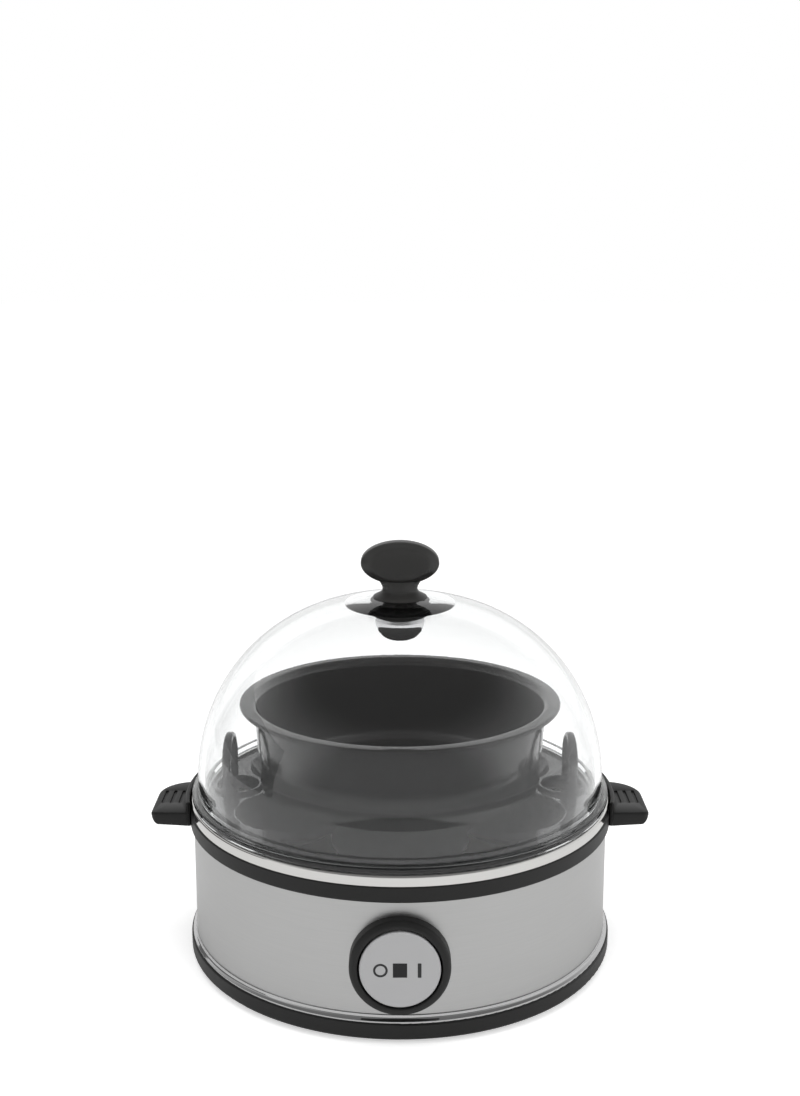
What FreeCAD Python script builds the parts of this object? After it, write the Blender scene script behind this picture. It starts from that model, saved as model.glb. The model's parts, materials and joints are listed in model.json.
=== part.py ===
import FreeCAD, Part
import math
import os

V = FreeCAD.Vector
up = V(0, 0, 1)

# Driving dimensions, in millimetres. The front of the cooker faces -Y.
body_r = 82.0            # outside of the steel wall
steel_t = 0.8            # sheet of the wall and the dish
foot_stand = 1.5         # rubber feet below the base ring
base_ring_h = 6.5        # black ring the wall stands on
base_ring_r = 84.2
wall_show = 45.5         # steel between the two black rings
upper_ring_h = 6.0       # black ring under the dish rim
upper_ring_r = 83.4
rim_show = 4.0           # polished dish rim above the upper ring
ledge_drop = 6.0         # rim top down to the tray ledge
well_depth = 12.0        # ledge down to the well floor
well_mouth_r = 70.4
well_floor_r = 67.75
ledge_r = 79.0
handle_reach = 97.4      # tip of a side handle from the axis
handle_half = 17.0       # half its width, front to back
switch_r = 17.9          # switch bezel
switch_face = 87.4       # rocker face and gland mouth from the axis
rocker_r = 14.3
rocker_tilt = 5.0        # degrees each way
tray_r = 76.2
tray_rim_h = 6.2
cup_pitch = 49.3         # centre to centre of the ring of cups
cup_mouth = 20.3
middle_mouth = 17.0
cup_depth = 12.0
tray_t = 1.7             # wall of the moulded cups
tray_plate = 2.0         # flat top of the tray
tray_rim_t = 2.2         # rim that stands on the ledge
loop_top = 22.5          # tray loop above the tray
bowl_h = 37.9
bowl_rim_r = 62.8
bowl_wall_r = 57.2       # outside, just under the flange
bowl_base_r = 55.3       # outside, at the bottom corner
bowl_t = 1.6
dome_r = 80.0            # dome outside, at its foot
dome_side_r = 69.6       # arc of the dome's side
dome_top_r = 102.3       # flatter arc over its top
dome_t = 2.5
skirt_r = 79.1
skirt_h = 3.2            # skirt below the bead
bead_r = 82.4
bead_h = 2.6
knob_half = 15.2         # half width of the oval grip
knob_rise = 8.4          # half height of the grip

# Levels worked out from them
z_base = foot_stand
z_wall = z_base + base_ring_h
z_upper = z_wall + wall_show
z_rim_foot = z_upper + upper_ring_h
z_rim = z_rim_foot + rim_show
z_ledge = z_rim - ledge_drop
z_well = z_ledge - well_depth
z_switch = z_wall + wall_show / 2 - 0.25
z_tray = z_ledge + tray_rim_h
z_cup_foot = z_tray - cup_depth - tray_t
z_skirt = z_rim - skirt_h
z_bead = z_rim + bead_h
z_floor = z_base + 1.5            # underside of the cover's floor
floor_t = 2.5
z_inside = z_floor + floor_t
wall_in = body_r - steel_t
z_plate = z_well - steel_t        # top of the heater plate
plate_t = 4.0
z_under = z_plate - plate_t       # underside of the heater plate
z_tray_under = z_tray - tray_plate
plate_r = well_floor_r - 10.75    # heater plate


def outline(corners):
    # Closed wire in the XZ plane through corners (across, up, radius)
    turns = []
    count = len(corners)
    for i, (a, b, r) in enumerate(corners):
        here = V(a, 0, b)
        last = corners[i - 1]
        following = corners[(i + 1) % count]
        back = (V(last[0], 0, last[1]) - here).normalize()
        ahead = (V(following[0], 0, following[1]) - here).normalize()
        half = back.getAngle(ahead) / 2
        if r < 1e-6 or abs(half - math.pi / 2) < 1e-6:
            turns.append((here, here, here))
            continue
        reach = r / math.tan(half)
        inward = (back + ahead).normalize()
        middle = here + inward * (r / math.sin(half) - r)
        turns.append((here + back * reach, middle, here + ahead * reach))
    edges = []
    for i, (start, middle, end) in enumerate(turns):
        if (end - start).Length > 1e-6:
            edges.append(Part.Arc(start, middle, end).toShape())
        begin = turns[(i + 1) % count][0]
        if (begin - end).Length > 1e-6:
            edges.append(Part.makeLine(end, begin))
    return Part.Wire(edges)


def sheet(path, thick):
    # Corners of a bent sheet: the path, then the path offset to its right by the thickness
    far = []
    for i, (a, b, r) in enumerate(path):
        ways = []
        if i > 0:
            ways.append(V(a - path[i - 1][0], b - path[i - 1][1], 0).normalize())
        if i < len(path) - 1:
            ways.append(V(path[i + 1][0] - a, path[i + 1][1] - b, 0).normalize())
        rights = [V(w.y, -w.x, 0) for w in ways]
        turn = 0.0
        shift = rights[0] * thick
        if len(ways) == 2:
            turn = ways[0].x * ways[1].y - ways[0].y * ways[1].x
            mean = (rights[0] + rights[1]).normalize()
            shift = mean * (thick / mean.dot(rights[0]))
        outer = 0.0
        if r > 0:
            outer = max(r + math.copysign(thick, turn), 0.0)
        far.append((a + shift.x, b + shift.y, outer))
    return list(path) + far[::-1]


def spin(corners, angle=360.0):
    # Solid of revolution about the upright axis
    return Part.Face(outline(corners)).revolve(V(0, 0, 0), up, angle)


def spin_front(corners, z):
    # Solid of revolution about a front-to-back axis at height z; up in the profile runs towards the front
    solid = spin(corners)
    solid.rotate(V(0, 0, 0), V(1, 0, 0), 90)
    solid.translate(V(0, 0, z))
    return solid


def rod(r, start, end):
    return Part.makeCylinder(r, (end - start).Length, start, end - start)


def tube(r_out, r_in, z0, z1):
    outer = Part.makeCylinder(r_out, z1 - z0, V(0, 0, z0))
    return outer.cut(Part.makeCylinder(r_in, z1 - z0, V(0, 0, z0)))


def block(x, y, z):
    # Box from its low and high limits along each axis
    return Part.makeBox(x[1] - x[0], y[1] - y[0], z[1] - z[0], V(x[0], y[0], z[0]))


def slab(corners, thick):
    # XZ outline made solid, centred front to back
    solid = Part.Face(outline(corners)).extrude(V(0, thick, 0))
    solid.translate(V(0, -thick / 2, 0))
    return solid


def plan(corners, z0, z1):
    # Outline given as (x, y, radius), made solid between two heights
    wire = outline(corners)
    wire.rotate(V(0, 0, 0), V(1, 0, 0), -90)
    wire.translate(V(0, 0, z0))
    return Part.Face(wire).extrude(V(0, 0, z1 - z0))


def polar(r, degrees):
    turn = math.radians(degrees)
    return V(r * math.cos(turn), r * math.sin(turn), 0)


def round_the_axis(shape, count, first=0.0):
    copies = []
    for i in range(count):
        copy = shape.copy()
        copy.rotate(V(0, 0, 0), up, first + 360.0 * i / count)
        copies.append(copy)
    return copies


def joined(shapes):
    return shapes[0].multiFuse(shapes[1:]).removeSplitter()


def save(name, shape):
    solids = shape.Solids
    result = solids[0] if len(solids) == 1 else Part.makeCompound(solids)
    result.exportStep("parts/" + name + ".step")
    print(name, "solids", len(solids), "volume", round(result.Volume, 1), "valid", result.isValid())


# Screws, posts and feet that hold the base together
post_r = ledge_r - 3.4
post_half = 4.2
post_first = 45.0
posts = 4
boss_top = z_inside + 4.5
screw_seat = z_inside + 1.5
screw_half = 2.0
nut_h = 3.2
z_nut = z_ledge - steel_t - nut_h
foot_r = body_r - 24.0
foot_half = 6.0
foot_stem = 2.5


# Air slots in the floor, in rows each side of the middle
vent_rows = 5
vent_first = 16.0
vent_step = 6.0
vent_half = 1.2
vent_long = 14.0


def long_slot(x, half, reach, z0, z1):
    # Round-ended slot along Y
    soft = half - 0.01
    return plan([(x - half, -reach, soft), (x + half, -reach, soft),
                 (x + half, reach, soft), (x - half, reach, soft)], z0, z1)


def bottom_cover():
    # Base ring and floor in one, with a rib that centres the wall and bosses for the clamp screws
    rib_top = z_wall + 2.4
    rib_out = wall_in - 0.2
    rib_in = rib_out - 1.1
    ring_in = base_ring_r - 5.2
    rim = [(ring_in, z_base, 0), (base_ring_r, z_base, 1.6), (base_ring_r, z_wall, 0.6), (rib_out, z_wall, 0),
           (rib_out, rib_top, 0.3), (rib_in, rib_top, 0.3), (rib_in, z_inside, 0),
           (0, z_inside, 0), (0, z_floor, 0), (ring_in, z_floor, 0)]
    boss = rod(post_half + 2.3, V(post_r - 1.0, 0, z_floor), V(post_r - 1.0, 0, boss_top))
    boss = boss.common(Part.makeCylinder(wall_in - 0.3, 40.0))
    cover = joined([spin(rim)] + round_the_axis(boss, posts, post_first))
    drill = rod(screw_half + 0.3, V(post_r, 0, 0), V(post_r, 0, boss_top + 1.0))
    sink = rod(post_half + 0.3, V(post_r, 0, 0), V(post_r, 0, screw_seat))
    stem = rod(foot_stem + 0.1, V(foot_r, 0, 0), V(foot_r, 0, z_inside + 1.0))
    for cutter in (drill, sink, stem):
        for copy in round_the_axis(cutter, posts, post_first):
            cover = cover.cut(copy)
    for side in (-1, 1):
        for row in range(vent_rows):
            x = side * (vent_first + vent_step * row)
            cover = cover.cut(long_slot(x, vent_half, vent_long, z_floor - 1, z_inside + 1))
    return cover


def rubber_feet():
    # Pad under the floor and a barbed stem through it
    barb = z_inside + 2.4
    foot = spin([(0, 0, 0), (foot_half, 0, 1.0), (foot_half, z_floor, 0), (foot_stem, z_floor, 0),
                 (foot_stem, z_inside, 0), (foot_stem + 0.8, z_inside, 0), (foot_stem - 0.6, barb, 0),
                 (0, barb, 0)])
    foot.translate(V(foot_r, 0, 0))
    return Part.makeCompound(round_the_axis(foot, posts, post_first))


def clamp_screws():
    # Screws up through the posts, with round heads sunk in the floor
    head_half = post_half - 0.4
    head_top = screw_seat - 2.8
    screw = rod(screw_half, V(post_r, 0, screw_seat), V(post_r, 0, z_nut + nut_h - 0.4))
    head = spin([(0, head_top, 0), (head_half, head_top, 0.8), (head_half, screw_seat, 0),
                 (0, screw_seat, 0)])
    head.translate(V(post_r, 0, 0))
    return Part.makeCompound(round_the_axis(screw.fuse(head).removeSplitter(), posts, post_first))


def weld_nuts():
    # Hexagon nuts welded under the ledge
    corner_r = 3.5 / math.cos(math.pi / 6)
    corners = []
    for i in range(6):
        corner = polar(corner_r, 30 + 60 * i)
        corners.append((post_r + corner.x, corner.y, 0))
    nut = plan(corners, z_nut, z_nut + nut_h)
    nut = nut.cut(rod(screw_half + 0.05, V(post_r, 0, z_nut - 1), V(post_r, 0, z_rim)))
    return Part.makeCompound(round_the_axis(nut, posts, post_first))


gland_half = 5.0
z_gland = z_inside + 12.5


def steel_wall():
    # Rolled sheet with a hole for the switch and one for the gland
    wall = tube(body_r, wall_in, z_wall, z_upper + 1.0)
    wall = wall.cut(rod(switch_r - 1.2, V(0, 0, z_switch), V(0, -body_r - 5, z_switch)))
    return wall.cut(rod(gland_half, V(0, 0, z_gland), V(0, body_r + 5, z_gland)))


def trim_ring():
    # Bright flared lip round the foot of the wall
    lip = body_r + 1.6
    top = z_wall + 2.6
    return spin([(body_r, z_wall, 0), (lip, z_wall, 0), (lip, z_wall + 0.6, 0.2),
                 (body_r + 0.45, z_wall + 1.4, 0.9), (body_r + 0.35, top, 0.15), (body_r, top, 0)])


tongue_half = 12.0
tongue_z = (z_upper + 2.2, z_upper + 4.6)
grip_rows = 3            # grooves across each side handle
grip_step = 3.4
grip_half = 0.6
grip_long = 6.5


def upper_ring():
    # Black ring that caps the wall and carries the dish, with posts down to the cover
    groove = (wall_in - 0.1, body_r + 0.1)
    shelf = z_ledge - steel_t
    foot = z_upper - 3.0
    inside = ledge_r - 2.0
    ring = spin([(inside, foot, 0), (groove[0], foot, 0), (groove[0], z_upper + 1.0, 0),
                 (groove[1], z_upper + 1.0, 0), (groove[1], z_upper, 0), (upper_ring_r, z_upper, 0.8),
                 (upper_ring_r, z_rim_foot, 0.5), (ledge_r + 2.5, z_rim_foot, 0),
                 (ledge_r + 1.5, shelf + 0.4, 0), (ledge_r + 0.5, shelf, 0), (inside, shelf, 0)])
    post = rod(post_half, V(post_r, 0, boss_top), V(post_r, 0, z_nut))
    ring = joined([ring] + round_the_axis(post, posts, post_first))
    pocket = rod(post_half + 0.1, V(post_r, 0, z_nut), V(post_r, 0, z_rim))
    bore = rod(screw_half + 0.3, V(post_r, 0, 0), V(post_r, 0, z_rim))
    for cutter in (pocket, bore):
        for copy in round_the_axis(cutter, posts, post_first):
            ring = ring.cut(copy)
    for side in (-1, 1):
        ends = sorted((side * (ledge_r + 1.8), side * handle_reach))
        ring = ring.cut(block(ends, (-tongue_half, tongue_half), tongue_z))
    return ring


def side_handle(side):
    # Grip lug, swept back behind, with an upstand along the dish rim and a tongue in the upper ring
    root = body_r - 2.0
    foot = z_upper + 0.5
    high = z_rim + 10.0
    half = handle_half
    grip = slab([(root, foot, 0), (handle_reach, foot, 4.6), (handle_reach, z_rim_foot, 0.8),
                 (root, z_rim_foot, 0)], 2 * half)
    grip = grip.common(plan([(root, -half, 0), (handle_reach, -half, 2.5), (handle_reach, half, 13.5),
                             (root, half, 0)], 0, high))
    upstand = tube(upper_ring_r + 1.7, upper_ring_r, foot, z_rim + 0.2)
    upstand = upstand.common(block((0, handle_reach), (-half - 0.8, half + 0.8), (0, high)))
    handle = grip.cut(Part.makeCylinder(upper_ring_r, high)).fuse(upstand).removeSplitter()
    tongue = block((body_r - 0.7, upper_ring_r + 1.0), (-tongue_half + 0.05, tongue_half - 0.05),
                   (tongue_z[0] + 0.05, tongue_z[1] - 0.05))
    handle = handle.fuse(tongue).removeSplitter()
    for row in range(grip_rows):
        x = upper_ring_r + 4.0 + grip_step * row
        handle = handle.cut(long_slot(x, grip_half, grip_long, z_rim_foot - grip_half, high))
    if side < 0:
        handle = handle.mirror(V(0, 0, 0), V(1, 0, 0))
    return handle


def heating_dish():
    # Drawn steel dish: well with a raised middle, ledge for the tray and a rolled rim
    plate_edge = plate_r + 3.2
    path = [(0, z_well, 0), (plate_edge - 0.5, z_well, 0), (plate_edge + 0.5, z_well - 0.5, 0),
            (well_floor_r, z_well - 0.5, 2.0), (well_mouth_r, z_ledge, 1.6), (ledge_r, z_ledge, 1.4),
            (ledge_r + 2.2, z_rim, 0.4), (body_r + 0.9, z_rim, 0.9), (body_r + 0.9, z_rim_foot, 0)]
    return spin(sheet(path, steel_t))


element_r = plate_r - 13.0
element_half = 3.4
element_flat = 2.4
element_gap = 25.0
z_element = z_under - element_flat
pin_foot = z_element - 9.5
thermo_half = 8.5
thermo_h = 6.0
thermo_blade_y = 5.6
blade_foot = z_under - thermo_h - 8.0
strap_t = 0.8
strap_half = 3.5
strap_end = 24.0
strap_screw_x = 20.5
fuse_y = 25.0
fuse_x = (6.5, 17.5)
fuse_half = 2.0
z_fuse = z_under - fuse_half


def heater_plate():
    # Cast disc brazed under the dish, with blind holes for the strap screws
    plate = spin([(0, z_under, 0), (plate_r, z_under, 1.0), (plate_r, z_plate, 0), (0, z_plate, 0)])
    for side in (-1, 1):
        x = side * strap_screw_x
        plate = plate.cut(rod(1.5, V(x, 0, z_under - 1), V(x, 0, z_under + 3.0)))
    return plate


def heating_element():
    # Tube flattened on top where it is brazed to the plate, with a cold pin turned down at each end
    tube_face = Part.Face(Part.Wire(Part.makeCircle(element_half, V(element_r, 0, z_element), V(0, 1, 0))))
    arc = tube_face.revolve(V(0, 0, 0), up, 360 - 2 * element_gap)
    arc.rotate(V(0, 0, 0), up, 90 + element_gap)
    arc = arc.cut(Part.makeCylinder(60.0, 10.0, V(0, 0, z_under)))
    pieces = [arc]
    for side in (-1, 1):
        turn = math.radians(90 + side * element_gap)
        foot = V(element_r * math.cos(turn), element_r * math.sin(turn), 0)
        pieces.append(rod(1.5, foot + V(0, 0, pin_foot), foot + V(0, 0, z_element)))
        pieces.append(Part.makeSphere(2.6, foot + V(0, 0, z_element - 0.4)))
    return joined(pieces).cut(Part.makeCylinder(60.0, 10.0, V(0, 0, z_under)))


def pin_end(side):
    turn = math.radians(90 + side * element_gap)
    return V(element_r * math.cos(turn), element_r * math.sin(turn), pin_foot)


def thermostat():
    # Disc thermostat with two blades
    low = z_under - thermo_h
    brim = z_under - 1.6
    neck = thermo_half - 1.5
    body = spin([(0, low, 0), (neck, low, 0.4), (neck, brim, 0), (thermo_half, brim, 0),
                 (thermo_half, z_under, 0.4), (0, z_under, 0)])
    blades = []
    for side in (-1, 1):
        y = side * thermo_blade_y
        blades.append(block((-3.15, 3.15), (y - 0.4, y + 0.4), (blade_foot, low + 1.0)))
    return joined([body] + blades)


def thermostat_strap():
    # Spring strap that presses the thermostat to the plate
    low = z_under - thermo_h
    rise = thermo_half + 1.2
    path = [(-strap_end, z_under, 0), (-rise - 5.0, z_under, 0.6), (-rise, low, 0.6), (rise, low, 0.6),
            (rise + 5.0, z_under, 0.6), (strap_end, z_under, 0)]
    strap = slab(sheet(path, strap_t), 2 * strap_half)
    for side in (-1, 1):
        x = side * strap_screw_x
        strap = strap.cut(rod(1.6, V(x, 0, 0), V(x, 0, z_rim)))
    return strap


def strap_screws():
    screws = []
    seat = z_under - strap_t
    tip = z_under + 2.8
    for side in (-1, 1):
        screw = spin([(0, seat - 2.0, 0), (2.7, seat - 2.0, 0.6), (2.7, seat, 0), (1.45, seat, 0),
                      (1.45, tip, 0), (0, tip, 0)])
        screw.translate(V(side * strap_screw_x, 0, 0))
        screws.append(screw)
    return Part.makeCompound(screws)


def thermal_fuse():
    body = rod(fuse_half, V(fuse_x[0], fuse_y, z_fuse), V(fuse_x[1], fuse_y, z_fuse))
    lead = rod(0.5, V(fuse_x[0] - 3.5, fuse_y, z_fuse), V(fuse_x[1] + 3.5, fuse_y, z_fuse))
    return body.fuse(lead).removeSplitter()


def fuse_clip():
    # Saddle that holds the fuse against the plate
    reach = fuse_half + 0.05
    path = [(-7.0, z_under, 0), (-reach, z_under, 0), (-reach, z_fuse - reach, reach - 0.01),
            (reach, z_fuse - reach, reach - 0.01), (reach, z_under, 0), (7.0, z_under, 0)]
    clip = slab(sheet(path, 0.6), 5.0)
    clip.rotate(V(0, 0, 0), up, 90)
    clip.translate(V((fuse_x[0] + fuse_x[1]) / 2, fuse_y, 0))
    return clip


# Switch: the bezel and retainer clamp the wall, the rocker turns on an upright pin
bezel_bore = rocker_r + 0.6
bezel_neck = switch_r - 1.3
bezel_back = body_r - 8.0
bezel_front = switch_face - 0.2
pivot_y = -(switch_face - 3.0)
pin_half = 1.25
blade_x = 6.0
blade_back = -(bezel_back - 26.0)
case_back = -(bezel_back - 17.0)


def switch_bezel():
    # Ring round the rocker, its flange cut to lie on the round wall
    flange = body_r - 4.0
    ring = spin_front([(bezel_bore, bezel_back, 0), (bezel_neck, bezel_back, 0), (bezel_neck, flange, 0),
                       (switch_r, flange, 0), (switch_r, bezel_front, 2.0), (bezel_bore, bezel_front, 0.6)],
                      z_switch)
    neck = rod(bezel_neck, V(0, 0, z_switch), V(0, -handle_reach, z_switch))
    ring = ring.cut(Part.makeCylinder(body_r, z_rim).cut(neck))
    reach = bezel_neck - 0.6
    return ring.cut(rod(pin_half, V(0, pivot_y, z_switch - reach), V(0, pivot_y, z_switch + reach)))


def switch_retainer():
    # Ring pressed on the bezel's neck behind the wall
    ring = spin_front([(bezel_neck + 0.05, body_r - 6.0, 0), (bezel_neck + 3.2, body_r - 6.0, 0.6),
                       (bezel_neck + 3.2, body_r, 0), (bezel_neck + 0.05, body_r, 0)], z_switch)
    return ring.common(Part.makeCylinder(wall_in, 80.0))


def rocker_pin():
    reach = bezel_neck - 0.7
    return rod(pin_half, V(0, pivot_y, z_switch - reach), V(0, pivot_y, z_switch + reach))


window_x = 2.5
window_z = 2.7
window_deep = 1.6


def switch_rocker():
    # Round rocker with a lever behind and a square pocket for the indicator
    face = switch_face
    disc = spin_front([(0, face - 6.0, 0), (rocker_r - 1.2, face - 6.0, 0.5), (rocker_r - 0.2, face - 3.0, 0),
                       (rocker_r, face, 0.7), (0, face, 0)], z_switch)
    lever = block((-1.5, 1.5), (-face + 5.0, -face + 10.5), (z_switch - 4.0, z_switch + 4.0))
    rocker = disc.fuse(lever).removeSplitter()
    rocker = rocker.cut(rod(pin_half + 0.05, V(0, pivot_y, z_switch - 20), V(0, pivot_y, z_switch + 20)))
    return rocker.cut(block((-window_x, window_x), (-face - 1, -face + window_deep),
                            (z_switch - window_z, z_switch + window_z)))


def indicator_window():
    face = switch_face
    return block((-window_x, window_x), (-face, -face + window_deep),
                 (z_switch - window_z, z_switch + window_z))


def switch_body():
    # Flange behind the bezel, case with two blades, and a collar with a pocket for the rocker's lever
    back = bezel_back
    flange = rod(bezel_neck, V(0, 2.0 - back, z_switch), V(0, -back, z_switch))
    case = block((-13, 13), (2.0 - back, case_back), (z_switch - 9.5, z_switch + 9.5))
    front = back + 4.5
    collar = spin_front([(0, back, 0), (10.0, back, 0), (10.0, front, 0.5), (0, front, 0)], z_switch)
    body = joined([flange, case, collar])
    body = body.cut(block((-4.0, 4.0), (-back - 6.0, 1.5 - back), (z_switch - 5.0, z_switch + 5.0)))
    blades = []
    for side in (-1, 1):
        x = side * blade_x
        blades.append(block((x - 0.4, x + 0.4), (case_back - 1.0, blade_back),
                            (z_switch - 3.15, z_switch + 3.15)))
    return joined([body] + blades)


# Terminal block, gland and inner leads
block_front = element_r
block_deep = 12.0
z_pole = z_inside + 6.5
z_pole_floor = z_inside + 4.0
pole_x = 8.0
pole_screw = 1.8
lead_half = 1.2


def terminal_block():
    # Three-way block with a screw well in each pole
    deep = (block_front, block_front + block_deep)
    middle = block_front + block_deep / 2
    body = block((-13, 13), deep, (z_inside, z_inside + 9.0))
    towers = []
    for pole in (-1, 0, 1):
        x = pole * pole_x
        towers.append(block((x - 3.2, x + 3.2), deep, (z_inside, z_inside + 12.0)))
    body = joined([body] + towers)
    for pole in (-1, 0, 1):
        x = pole * pole_x
        body = body.cut(rod(pole_screw + 0.1, V(x, middle, z_pole_floor), V(x, middle, z_inside + 20)))
    return body


def terminal_screws():
    screws = []
    middle = block_front + block_deep / 2
    for pole in (-1, 0, 1):
        x = pole * pole_x
        screws.append(rod(pole_screw, V(x, middle, z_pole_floor), V(x, middle, z_pole_floor + 7.2)))
    return Part.makeCompound(screws)


def cord_gland():
    # Bush through the back of the wall: a collar outside, a lip inside, an open bore for the lead
    bore = 3.3
    inner = body_r - 5.0
    bush = spin_front([(bore, inner, 0), (gland_half + 1.6, inner, 0.6), (gland_half + 1.6, wall_in + 0.5, 0),
                       (gland_half + 2.4, wall_in + 0.5, 0), (gland_half + 2.4, body_r + 2.2, 0.8),
                       (gland_half + 0.4, switch_face, 0.8), (bore, switch_face, 0.6)], 0)
    bush.rotate(V(0, 0, 0), up, 180)
    bush.translate(V(0, 0, z_gland))
    throat = rod(gland_half, V(0, 0, z_gland), V(0, 100, z_gland))
    return bush.cut(tube(body_r, wall_in, 0, 80).cut(throat))


def lead(points):
    # Round wire along straight runs joined by tangent arcs
    edges = []
    start = points[0]
    for i in range(1, len(points) - 1):
        here = points[i]
        back = points[i - 1] - here
        ahead = points[i + 1] - here
        half = back.getAngle(ahead) / 2
        reach = 0.45 * min(back.Length, ahead.Length)
        back.normalize()
        ahead.normalize()
        inward = (back + ahead).normalize()
        r = reach * math.tan(half)
        middle = here + inward * (r / math.sin(half) - r)
        edges.append(Part.makeLine(start, here + back * reach))
        edges.append(Part.Arc(here + back * reach, middle, here + ahead * reach).toShape())
        start = here + ahead * reach
    edges.append(Part.makeLine(start, points[-1]))
    path = Part.Wire(edges)
    ring = Part.Wire(Part.makeCircle(lead_half, points[0], points[1] - points[0]))
    return path.makePipeShell([ring], True, True)


def leads():
    # Routes of the inner leads, from terminal to terminal
    left = pin_end(1)
    right = pin_end(-1)
    drop = V(0, 0, 9.0)
    below = blade_foot - 9.0
    fuse_out = fuse_x[1] + 3.5
    fuse_in = fuse_x[0] - 3.5
    near = block_front - 10.0
    behind = blade_back + 12.0
    return {
        "lead_live": [V(-pole_x, block_front, z_pole), V(-pole_x, near - 4, z_pole), V(-26, 8, z_pole),
                      V(-22, -24, z_pole), V(-blade_x, behind, z_switch), V(-blade_x, blade_back, z_switch)],
        "lead_switch": [V(blade_x, blade_back, z_switch), V(blade_x, behind, z_switch),
                        V(blade_x, -20, below), V(0, -thermo_blade_y, below),
                        V(0, -thermo_blade_y, blade_foot)],
        "lead_thermostat": [V(0, thermo_blade_y, blade_foot), V(0, thermo_blade_y, below), left - drop, left],
        "lead_fuse": [right, right - drop, V(fuse_out + 6, fuse_y, pin_foot - 9.0),
                      V(fuse_out + 6, fuse_y, z_fuse), V(fuse_out, fuse_y, z_fuse)],
        "lead_neutral": [V(fuse_in, fuse_y, z_fuse), V(fuse_in - 6.5, fuse_y, z_fuse),
                         V(fuse_in - 6.5, fuse_y, z_pole), V(pole_x, near, z_pole),
                         V(pole_x, block_front, z_pole)],
        "lead_earth": [V(0, block_front, z_pole), V(0, near, z_pole), V(0, near, z_under)],
    }


def sphere_cap(radius, centre, z1):
    # Part of a ball below a level
    ball = Part.makeSphere(radius, centre)
    return ball.common(Part.makeBox(80, 80, 80, V(centre.x - 40, centre.y - 40, z1 - 80)))


def curved_triangle(points, z0, z1):
    # Opening with three arc sides, each given as corner, middle of the next side
    edges = []
    count = len(points)
    for i in range(0, count, 2):
        edges.append(Part.Arc(points[i], points[i + 1], points[(i + 2) % count]).toShape())
    prism = Part.Face(Part.Wire(edges)).extrude(V(0, 0, z1 - z0))
    prism.translate(V(0, 0, z0))
    upright = [e for e in prism.Edges if abs(e.BoundBox.ZLength - (z1 - z0)) < 1e-6]
    return prism.makeFillet(0.9, upright)


collar_x = tray_r - 11.0
collar_hole = 8.6
collar_half = 10.4
collar_h = 1.4
loop_x = collar_x + 2.8
loop_half = 1.6          # half the loop's width, along X
loop_out = 12.3
loop_t = 2.6
fin_r = tray_r - 13.2
fin_t = 1.6
z_fin_foot = z_cup_foot - 1.7


def cup_ball(mouth):
    # Radius of the ball that a cup is cut from, and how far its centre stands above the tray
    radius = (mouth ** 2 + cup_depth ** 2) / (2 * cup_depth)
    return radius, radius - cup_depth


def cup_places():
    # Centre and mouth of each cup: a ring of six and one in the middle
    ring = [(polar(cup_pitch, 30 + 60 * i), cup_mouth) for i in range(6)]
    return ring + [(V(0, 0, 0), middle_mouth)]


def steam_openings():
    # Curved triangles that leave an even web round each cup
    z0 = z_tray - 20
    z1 = z_tray + 5
    web = cup_mouth + 4.9
    hub = middle_mouth + 8.0
    outer_r = tray_r - 9.4
    left = polar(cup_pitch, 30)
    right = polar(cup_pitch, -30)
    inner = curved_triangle([polar(hub, -15), polar(hub - 0.6, 0), polar(hub, 15), left - polar(web, 61),
                             polar(cup_pitch - 11.8, 0), right - polar(web, -61)], z0, z1)
    outer = curved_triangle([polar(cup_pitch - 1.3, 0), right + polar(web, 51), polar(outer_r, -12.4),
                             polar(outer_r + 3.2, 0), polar(outer_r, 12.4), left + polar(web, -51)], z0, z1)
    cuts = round_the_axis(inner, 6)
    for way in (60, 120, 240, 300):
        copy = outer.copy()
        copy.rotate(V(0, 0, 0), up, way)
        cuts.append(copy)
    return cuts


def collar_post(side, r, z0, z1):
    return Part.makeCylinder(r, z1 - z0, V(side * collar_x, 0, z0))


def egg_tray():
    # Flat top and rim, pierced by the cup mouths, the steam openings and two collared finger holes
    rim_in = tray_r - tray_rim_t
    top = spin([(0, z_tray_under, 0), (rim_in, z_tray_under, 0), (rim_in, z_ledge, 0), (tray_r, z_ledge, 0.5),
                (tray_r, z_tray, 0.8), (0, z_tray, 0)])
    collars = [collar_post(side, collar_half, z_tray_under, z_tray + collar_h) for side in (-1, 1)]
    tray = joined([top] + collars)
    cutters = steam_openings()
    for place, mouth in cup_places():
        radius, lift = cup_ball(mouth)
        cutters.append(Part.makeSphere(radius, place + V(0, 0, z_tray + lift)))
    for side in (-1, 1):
        cutters.append(collar_post(side, collar_hole, z_well, z_rim + 10))
    for cutter in cutters:
        tray = tray.cut(cutter)
    return tray


def egg_cups():
    # Shallow bowls that carry the mouths on below the flat top; each outer one has a locating fin
    fin = slab([(fin_r, z_tray_under, 0), (fin_r + 6.2, z_tray_under, 0), (fin_r + 4.6, z_fin_foot, 1.8),
                (fin_r + 0.4, z_fin_foot, 1.8)], fin_t)
    fins = round_the_axis(fin, 6, 30)
    cups = []
    for i, (place, mouth) in enumerate(cup_places()):
        radius, lift = cup_ball(mouth)
        centre = place + V(0, 0, z_tray + lift)
        cup = sphere_cap(radius + tray_t, centre, z_tray_under)
        if i < len(fins):
            cup = joined([cup, fins[i]])
        cups.append(cup.cut(Part.makeSphere(radius, centre)))
    return Part.makeCompound(cups)


def arch(half, top, deep, z0):
    # Upright slab with a half-round top, across the X axis
    soft = half - 0.01
    solid = slab([(-half, z0, 0), (-half, top, soft), (half, top, soft), (half, z0, 0)], deep)
    solid.rotate(V(0, 0, 0), up, 90)
    return solid


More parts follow.
